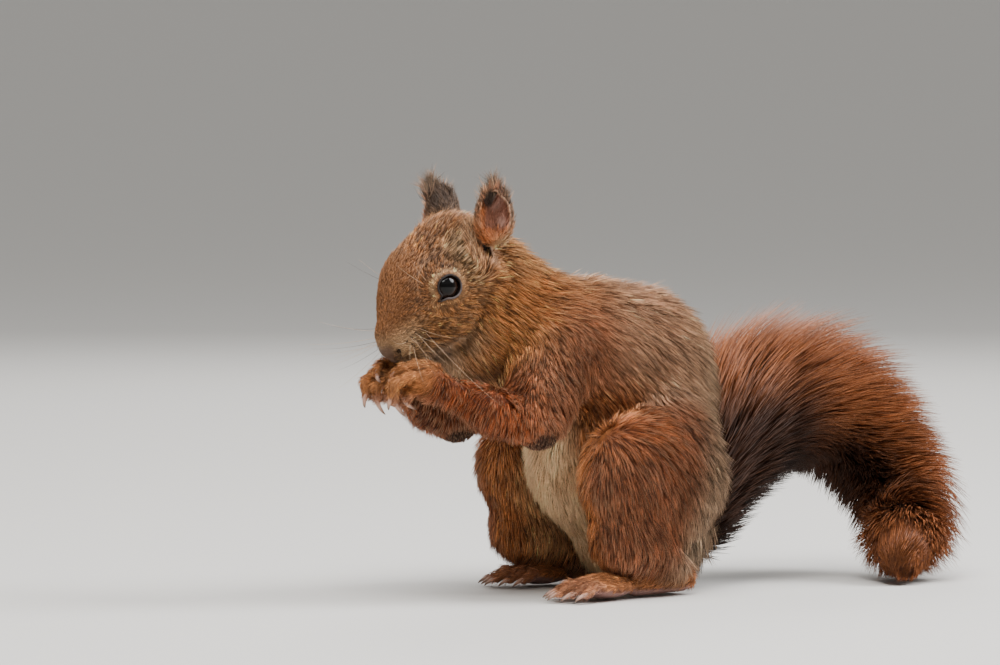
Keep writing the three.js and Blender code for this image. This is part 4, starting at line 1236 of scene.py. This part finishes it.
# ---------------- the long hair of tail and ears
TIP_SWEEP = 0.13  # how far the hair near the tail's end sweeps along it, of the tail's length
STRAY = {"along": 0.012, "around": 0.07}  # how far one hair strays from its lock
DARK_SHARE, LIGHT_SHARE = 0.2, 0.45  # of the tail's hairs
TIP_BRUSH = 20  # how far the hair runs on past the end of the tail
FULL_TURN = 6.2832
LOCKS = {"rows": 46, "columns": 22, "from": 0.1, "kinds": 4099, "seed": 23}  # of hair that leans together
OUTER = {"stations": (0.13, 0.48, 0.8, 1.0), "reach": (0.78, 1.04), "thick": 0.2, "taper": (1.0, 0.85),
         "light": 1.0}
DOWN = {"stations": (0.2, 0.6, 1.0), "reach": (0.42, 0.75), "thick": 0.24, "taper": (1.0,), "light": 0.7}
TAIL_PIECES = (-0.06, 0.3, 0.64, 1.0)
EAR_TUFT = {"from": (-77.2, 17.3, 134), "to": (-74.6, 18.4, 140.2), "long": 9.5, "fan": 1.3}


def tail_hair(name, start, end, count, layer, rng):
    """Long hairs that root between two shares of the tail's length."""
    t = rng.uniform(start, end, count)
    turn = rng.vonmises(0, 0.35, count)
    rows, columns = LOCKS["rows"], LOCKS["columns"]
    row, column = np.floor((t + LOCKS["from"]) * rows), np.floor((turn + math.pi) / FULL_TURN * columns)
    lock = (row.astype(int) * 977 + column.astype(int) * 131) % LOCKS["kinds"]
    chance = np.random.default_rng(LOCKS["seed"]).uniform(0, 1, (LOCKS["kinds"], 5))[lock]
    aim_t = (row + chance[:, 0]) / rows - LOCKS["from"]
    aim_turn = (column + chance[:, 1]) / columns * FULL_TURN - math.pi
    held = (0.35 + 0.5 * chance[:, 2]) * rng.uniform(0.5, 1, count)
    full = (0.88 + 0.12 * chance[:, 3]) * rng.uniform(*layer["reach"], count)
    stray = rng.normal(0, 1, (count, 2))
    kind = rng.uniform(0, 1, count)
    tone = np.exp(rng.normal(0, 0.2, count) + 0.45 * (chance[:, 4] - 0.5))[:, None]
    shade_in_bend = ramp(np.cos(turn), 0.3, -0.7) * ramp(t, 0.92, 0.68)  # painted shade on the hair inside the bend
    paths, tints = [], []
    for s in layer["stations"]:
        lean = held * s * s
        swept = TIP_SWEEP * ramp(t, 0.7, 1.0) * s
        at_t = t + (aim_t - t) * lean + stray[:, 0] * STRAY["along"] * s + swept
        at_turn = turn + (aim_turn - turn) * lean + stray[:, 1] * STRAY["around"] * s
        drawn_in = 1 - 0.62 * ramp(at_t, 0.9, 1.13)
        paths.append(hair_point(at_t, at_turn, hair_reach(at_t, at_turn) * full * s * drawn_in))
        level = s * full
        tint = painted(
            TAIL_ROOT,
            (TAIL_MID, ramp(level, 0.3, 0.78)),
            (TAIL_TIP, ramp(level, 0.75, 1.0) * np.where(kind > 1 - LIGHT_SHARE, 0.6, 0.15)),
            (TAIL_ROOT, (kind < DARK_SHARE) * 0.55))
        x, _, z = paths[-1].T
        shade_by_rump = ramp(z, 82, 58) * ramp(x, 76, 52)  # painted shade on the hair next to the rump
        tints.append(tint * tone * ((1 - 0.8 * shade_in_bend) * (1 - 0.85 * shade_by_rump))[:, None] * layer["light"])
    half = layer["thick"] * rng.uniform(0.75, 1.25, (count, 1)) * np.array([layer["taper"]])
    tufts(name, "fur_tail", np.stack(paths, 1), half, np.stack(tints, 1), np.stack([turn, t], 1))


def tail_tip(name, count, rng):
    """The brush at the tail's end, whose hairs run on along it."""
    full = np.sqrt(rng.uniform(0, 1, count))
    turn = rng.uniform(-math.pi, math.pi, count)
    start = rng.uniform(0.8, 1.0, count)
    ahead = (1 - 0.35 * full ** 2) * TIP_BRUSH * rng.uniform(0.75, 1, count)
    stray = rng.normal(0, 1, (count, 2))
    kind = rng.uniform(0, 1, count)
    tone = np.exp(rng.normal(0, 0.22, count))[:, None]
    paths, tints = [], []
    for s in (0.05, 0.45, 0.8, 1.0):
        at_t = start + (1 + ahead / TAIL_LONG - start) * s + stray[:, 0] * 0.006 * s
        at, _, side, back = tail_axes(at_t)
        wide = (0.08 + full * (0.34 * s + 0.45 * math.sin(math.pi * s))) * hair_reach(1.0, turn)
        about = turn + stray[:, 1] * 0.12 * s
        at = at + (back * np.cos(about)[:, None] + side * np.sin(about)[:, None]) * wide[:, None]
        at[:, 0] -= 4 * s * s
        paths.append(above_floor(at))
        tints.append(tone * painted(
            TAIL_ROOT,
            (TAIL_MID * 0.8, ramp(s, 0.3, 0.85)),
            (TAIL_TIP, ramp(s, 0.75, 1.0) * np.where(kind > 0.6, 0.5, 0.1)),
            (TAIL_ROOT, (kind < 0.25) * 0.55)))
    half = 0.18 * rng.uniform(0.75, 1.25, (count, 1)) * np.array([[1.0, 0.75]])
    tufts(name, "fur_tail", np.stack(paths, 1), half, np.stack(tints, 1), np.stack([turn, full], 1))


def ear_tufts(name, count, rng):
    """The long hairs that fan from the tips of the ears."""
    along, fan = rng.uniform(0, 1, (2, count))
    low, high = np.array(EAR_TUFT["from"]), np.array(EAR_TUFT["to"])
    roots = low + (high - low) * along[:, None] + rng.normal(0, 0.5, (count, 3)) * (1, 0.5, 0)
    outward = rng.normal(0.1, 0.14, count)
    way = unit(np.stack([(fan - 0.5) * EAR_TUFT["fan"] - 0.1, outward, np.ones(count)], 1))
    long = EAR_TUFT["long"] * rng.uniform(0.6, 1, count) * (1 - 0.25 * along)
    bend = way * (1, 1, 0.9) + np.array([0.12, 0, 0]) * (fan[:, None] - 0.5)
    paths = np.stack([roots, roots + bend * long[:, None] * 0.5, roots + way * long[:, None]], 1)
    paths[:, :, 1] *= np.where(np.arange(count) % 2, 1, -1)[:, None]
    tone = np.exp(rng.normal(0, 0.25, count))[:, None]
    tip = mix(EAR_BACK * tone, TEMPLE * tone, np.where(rng.uniform(0, 1, count) > 0.65, 0.7, 0.1))
    tints = np.stack([EAR_BACK * tone * 0.6, EAR_BACK * tone * 0.9, tip], 1)
    half = 0.1 * rng.uniform(0.8, 1.2, (count, 1))
    tufts(name, "fur_ear", paths, half, tints, np.stack([fan, along], 1))


ear_tufts("ear_tufts", 900, rng)
tail_tip("tail_tip", 3600, rng)
for number, (start, end) in enumerate(zip(TAIL_PIECES, TAIL_PIECES[1:])):
    tail_hair(f"tail_hair_{number + 1}", start, end, 8900, OUTER, rng)
    tail_hair(f"tail_down_{number + 1}", start, end, 2600, DOWN, rng)


# ---------------- rings of points: claws, eyes, lids, whiskers
def walls(rings, sides, closed=False):
    """Four-sided faces between rings of points that follow each other."""
    faces = []
    for r in range(rings if closed else rings - 1):
        a, b = r * sides, (r + 1) % rings * sides
        for k in range(sides):
            after = (k + 1) % sides
            faces.append((a + k, a + after, b + after, b + k))
    return np.array(faces)


def capped(rings, sides):
    """Triangles of a closed tube of rings, with the points of its two ends last."""
    last, top = (rings - 1) * sides, rings * sides
    caps = []
    for k in range(sides):
        after = (k + 1) % sides
        caps += [(top, after, k), (top + 1, last + k, last + after)]
    return np.concatenate([halves(walls(rings, sides)), caps])


def tube(path, radii, sides, tints):
    """Points, faces and tints of a closed tapered tube along a path."""
    ways = unit(np.gradient(path, axis=0))
    across = unit(np.cross(ways, (0.21, 0.93, 0.3)))
    over = np.cross(ways, across)
    turns = 2 * math.pi * np.arange(sides) / sides
    ring = across[:, None] * np.cos(turns)[None, :, None] + over[:, None] * np.sin(turns)[None, :, None]
    points = (path[:, None] + ring * radii[:, None, None]).reshape(-1, 3)
    points = np.concatenate([points, path[:1], path[-1:]])
    tints = np.concatenate([np.repeat(tints, sides, 0), tints[:1], tints[-1:]])
    return points, capped(len(path), sides), tints


def joined(parts):
    """The points, faces and tints of many meshes as those of one."""
    points, faces, tints = zip(*parts)
    starts = np.cumsum([0, *(len(some) for some in points)])
    faces = [some + start for some, start in zip(faces, starts)]
    return np.concatenate(points), np.concatenate(faces), np.concatenate(tints)


def bowed(start, end, sag, count):
    """A curve from start to end that bows towards sag."""
    t = np.linspace(0, 1, count)[:, None]
    return (1 - t) * np.array(start) + t * np.array(end) + 4 * t * (1 - t) * np.array(sag) * 0.5


def claw(end, tip, thick, bow):
    t = np.linspace(0, 1, 9)
    path = bowed(np.array(end) + (np.array(end) - np.array(tip)) * 0.25, tip, bow, 9)
    tints = painted(CLAW_ROOT, (CLAW_MIDDLE, ramp(t, 0.1, 0.5)), (CLAW_TIP, ramp(t, 0.5, 1)))
    return tube(path, thick * (1 - t) ** 0.55 + 0.06, 8, tints)


def eyeball(side, rows=32, columns=48):
    """A ball with its pupil towards the side and a brown iris that shows only as a hint."""
    polar = np.linspace(0, math.pi, rows + 1)[1:-1]
    turns = 2 * math.pi * np.arange(columns) / columns
    ring = np.stack([np.outer(np.sin(polar), np.cos(turns)), np.repeat(np.cos(polar)[:, None], columns, 1),
                     np.outer(np.sin(polar), np.sin(turns))], -1).reshape(-1, 3)
    points = np.concatenate([ring, [(0, 1, 0), (0, -1, 0)]])
    from_pupil = np.degrees(np.arccos(np.clip(points @ unit((-0.25, 0.95, 0.1)), -1, 1)))
    tint = painted(PUPIL, (IRIS, ramp(from_pupil, 24, 40)), (EYE_EDGE, ramp(from_pupil, 46, 60)))
    points = points * (1, side, 1) * EYE["radius"] + head_point(EYE_FORWARD, side * EYE_SIDE, EYE_UP)
    faces = capped(rows - 1, columns)
    return points, faces if side > 0 else faces[:, ::-1], tint


def lid_rim(side, stops=60, sides=6, radius=0.36):
    """The dark rim of the lids, grey along its lower edge: a painted sheen of the wet margin."""
    path, tints = [], []
    for turn in np.linspace(0, 2 * math.pi, stops + 1)[:-1]:
        way = np.array([math.cos(turn), math.sin(turn)])
        reach = np.linspace(0, 12, 481)
        forward, up = way * reach[np.argmax(almond(*(way[:, None] * reach)) > 0.12)]
        start = head_point(EYE_FORWARD + forward, side * 6, EYE_UP + up)
        path.append(surface_point(lambda x, y, z: uncut_face(x, y, z) - 0.05, start, (0, side, 0), 16))
        tints.append(mix(LID, LID_WET_SHEEN, ramp(-up / EYE["opening"][1], 0.2, 0.7)))
    path = np.array(path)
    ways = unit(np.roll(path, -1, 0) - np.roll(path, 1, 0))
    out = unit(np.cross(ways, (0, 1, 0)))
    over = np.cross(ways, out)
    turns = [2 * math.pi * k / sides for k in range(sides)]
    ring = [path + (out * math.cos(a) + over * math.sin(a)) * radius for a in turns]
    return np.stack(ring, 1).reshape(-1, 3), walls(stops, sides, closed=True), np.repeat(tints, sides, 0)


WHISKERS = (  # forward and up of the root; forward, side, up of the way; length; sag
    *((*root, 0.5 - 0.13 * place, 0.8, 0.62 - 0.2 * place - 0.36 * number, 24 + 3.5 * place + 1.5 * number, 3)
      for number, row in enumerate(WHISKER_ROWS) for place, root in enumerate(row)),
    (15, 9.5, 0.35, 0.3, 0.95, 15, 1), (13.6, 9.2, 0.15, 0.35, 0.95, 12, 1))


def whisker(row, side, rng):
    forward, up, way_f, way_s, way_u, long, sag = row
    aim = np.array(head_point(way_f, way_s * side, way_u)) - np.array(head_point(0, 0, 0))
    start = surface_point(uncut_face, head_point(forward, side * 2, up), (0, side, 0), 20)
    aim = unit(aim + rng.normal(0, 0.1, 3))
    t = np.linspace(0, 1, 12)
    path = bowed(start - aim * 0.6, start + aim * long, (0, 0, -sag), 12)
    path = path + t[:, None] ** 2 * np.array([0, 0, -sag * 0.6])
    colour = WHISKER_DARK if rng.uniform() < 0.35 else WHISKER_PALE
    return tube(path, 0.052 * (1 - t) + 0.016, 5, np.broadcast_to(colour, (12, 3)))


for side, word in SIDES.items():
    toes = joined([claw(end, tip, 0.95, (0, 0, 1.5)) for *_, end, tip in foot_digits(side)])
    put(f"claws_foot_{word}", HORN, "claw", *toes)
    fingers = joined([claw(end, tip, 1.0, (-1.8, 0, -0.5)) for *_, end, tip in hand_digits(side)])
    put(f"claws_hand_{word}", HORN, "claw", *fingers)
for side, word in SIDES.items():
    eye = put(f"eyeball_{word}", GLOSS, "eye", *eyeball(side))
    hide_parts(f"eye_{word}")
    put(f"lids_{word}", HIDE, "skin", *lid_rim(side))
put("whiskers", BRISTLE, "whisker", *joined([whisker(row, side, rng) for side in SIDES for row in WHISKERS]))


# ---------------- camera, floor and light
def aimed(thing, place, way):
    """Puts a camera or a light at a place, its back along way."""
    thing.location = place
    thing.rotation_euler = Vector(way).to_track_quat("Z", "Y").to_euler()


AZIMUTH, ELEVATION = math.radians(-35), math.radians(2.5)
CAMERA_AWAY = 1949
AIM_RIGHT, AIM_UP = -49.1, 89.6
SENSOR, LENS = 36, 200
SKY = {"colour": (0.86, 0.86, 0.85, 1), "strength": 0.62}
PAPER = (0.62, 0.6, 0.57, 1)
offset = np.array([math.sin(AZIMUTH) * math.cos(ELEVATION), -math.cos(AZIMUTH) * math.cos(ELEVATION),
                   math.sin(ELEVATION)])
right = np.array([math.cos(AZIMUTH), math.sin(AZIMUTH), 0])
lens = bpy.data.cameras.new("camera")
lens.sensor_width, lens.lens = SENSOR, LENS
lens.clip_start, lens.clip_end = 0.05, 30
camera = placed("camera", lens)
aim = right * AIM_RIGHT + np.cross(offset, right) * AIM_UP
aimed(camera, world(aim + offset * CAMERA_AWAY), offset)
bpy.context.scene.camera = camera

LIGHTS = {  # place, target, size in metres, power in watts, colour
    "key": ((-0.75, -0.95, 1.4), (-0.02, 0, 0.08), 0.8, 21, (1, 0.98, 0.95)),
    "top": ((-0.15, -0.35, 1.5), (0, 0, 0.08), 1.4, 24, (1, 1, 1)),
    "back_left": ((0.99, -0.72, 1.06), (-0.05, 0, 0.1), 0.88, 32, (0.97, 0.98, 1)),
    "rim": ((0.8, 1.2, 1.0), (0, 0, 0.1), 0.9, 11, (1, 1, 1))}
for name, (place, target, size, power, colour) in LIGHTS.items():
    lamp = bpy.data.lights.new(name, "AREA")
    lamp.shape = "DISK"
    lamp.size, lamp.energy, lamp.color = size, power, colour
    aimed(placed(name, lamp), place, Vector(place) - Vector(target))

sky = bpy.data.worlds.new("studio")
sky.use_nodes = True
background = sky.node_tree.nodes["Background"]
background.inputs["Color"].default_value = SKY["colour"]
background.inputs["Strength"].default_value = SKY["strength"]
bpy.context.scene.world = sky

FLOOR = {"flat": 1.0, "wide": 9, "high": 3.2, "sunk": 0.0002,  # in metres
         "power": 4, "rings": 32, "sides": 96}


def bowl():
    """A round floor that curves up at its rim, so that no horizon shows from any side."""
    points, sides = [], FLOOR["sides"]
    for t in np.linspace(0, 1, FLOOR["rings"]):
        radius = FLOOR["flat"] + t * (FLOOR["wide"] - FLOOR["flat"])
        height = FLOOR["high"] * t ** FLOOR["power"] - FLOOR["sunk"]
        turns = 2 * math.pi * np.arange(sides) / sides
        points += [(radius * math.cos(turn), radius * math.sin(turn), height) for turn in turns]
    points.append((0, 0, -FLOOR["sunk"]))
    middle = len(points) - 1
    faces = walls(FLOOR["rings"], sides)[:, [0, 3, 2, 1]].tolist()
    faces += [(middle, k, (k + 1) % sides) for k in range(sides)]
    mesh = bpy.data.meshes.new("floor")
    mesh.from_pydata(points, [], faces)
    mesh.shade_smooth()
    return mesh


floor = placed("floor", bowl())
floor.data.materials.append(new_material("paper", Base_Color=PAPER, Roughness=0.9)[0])
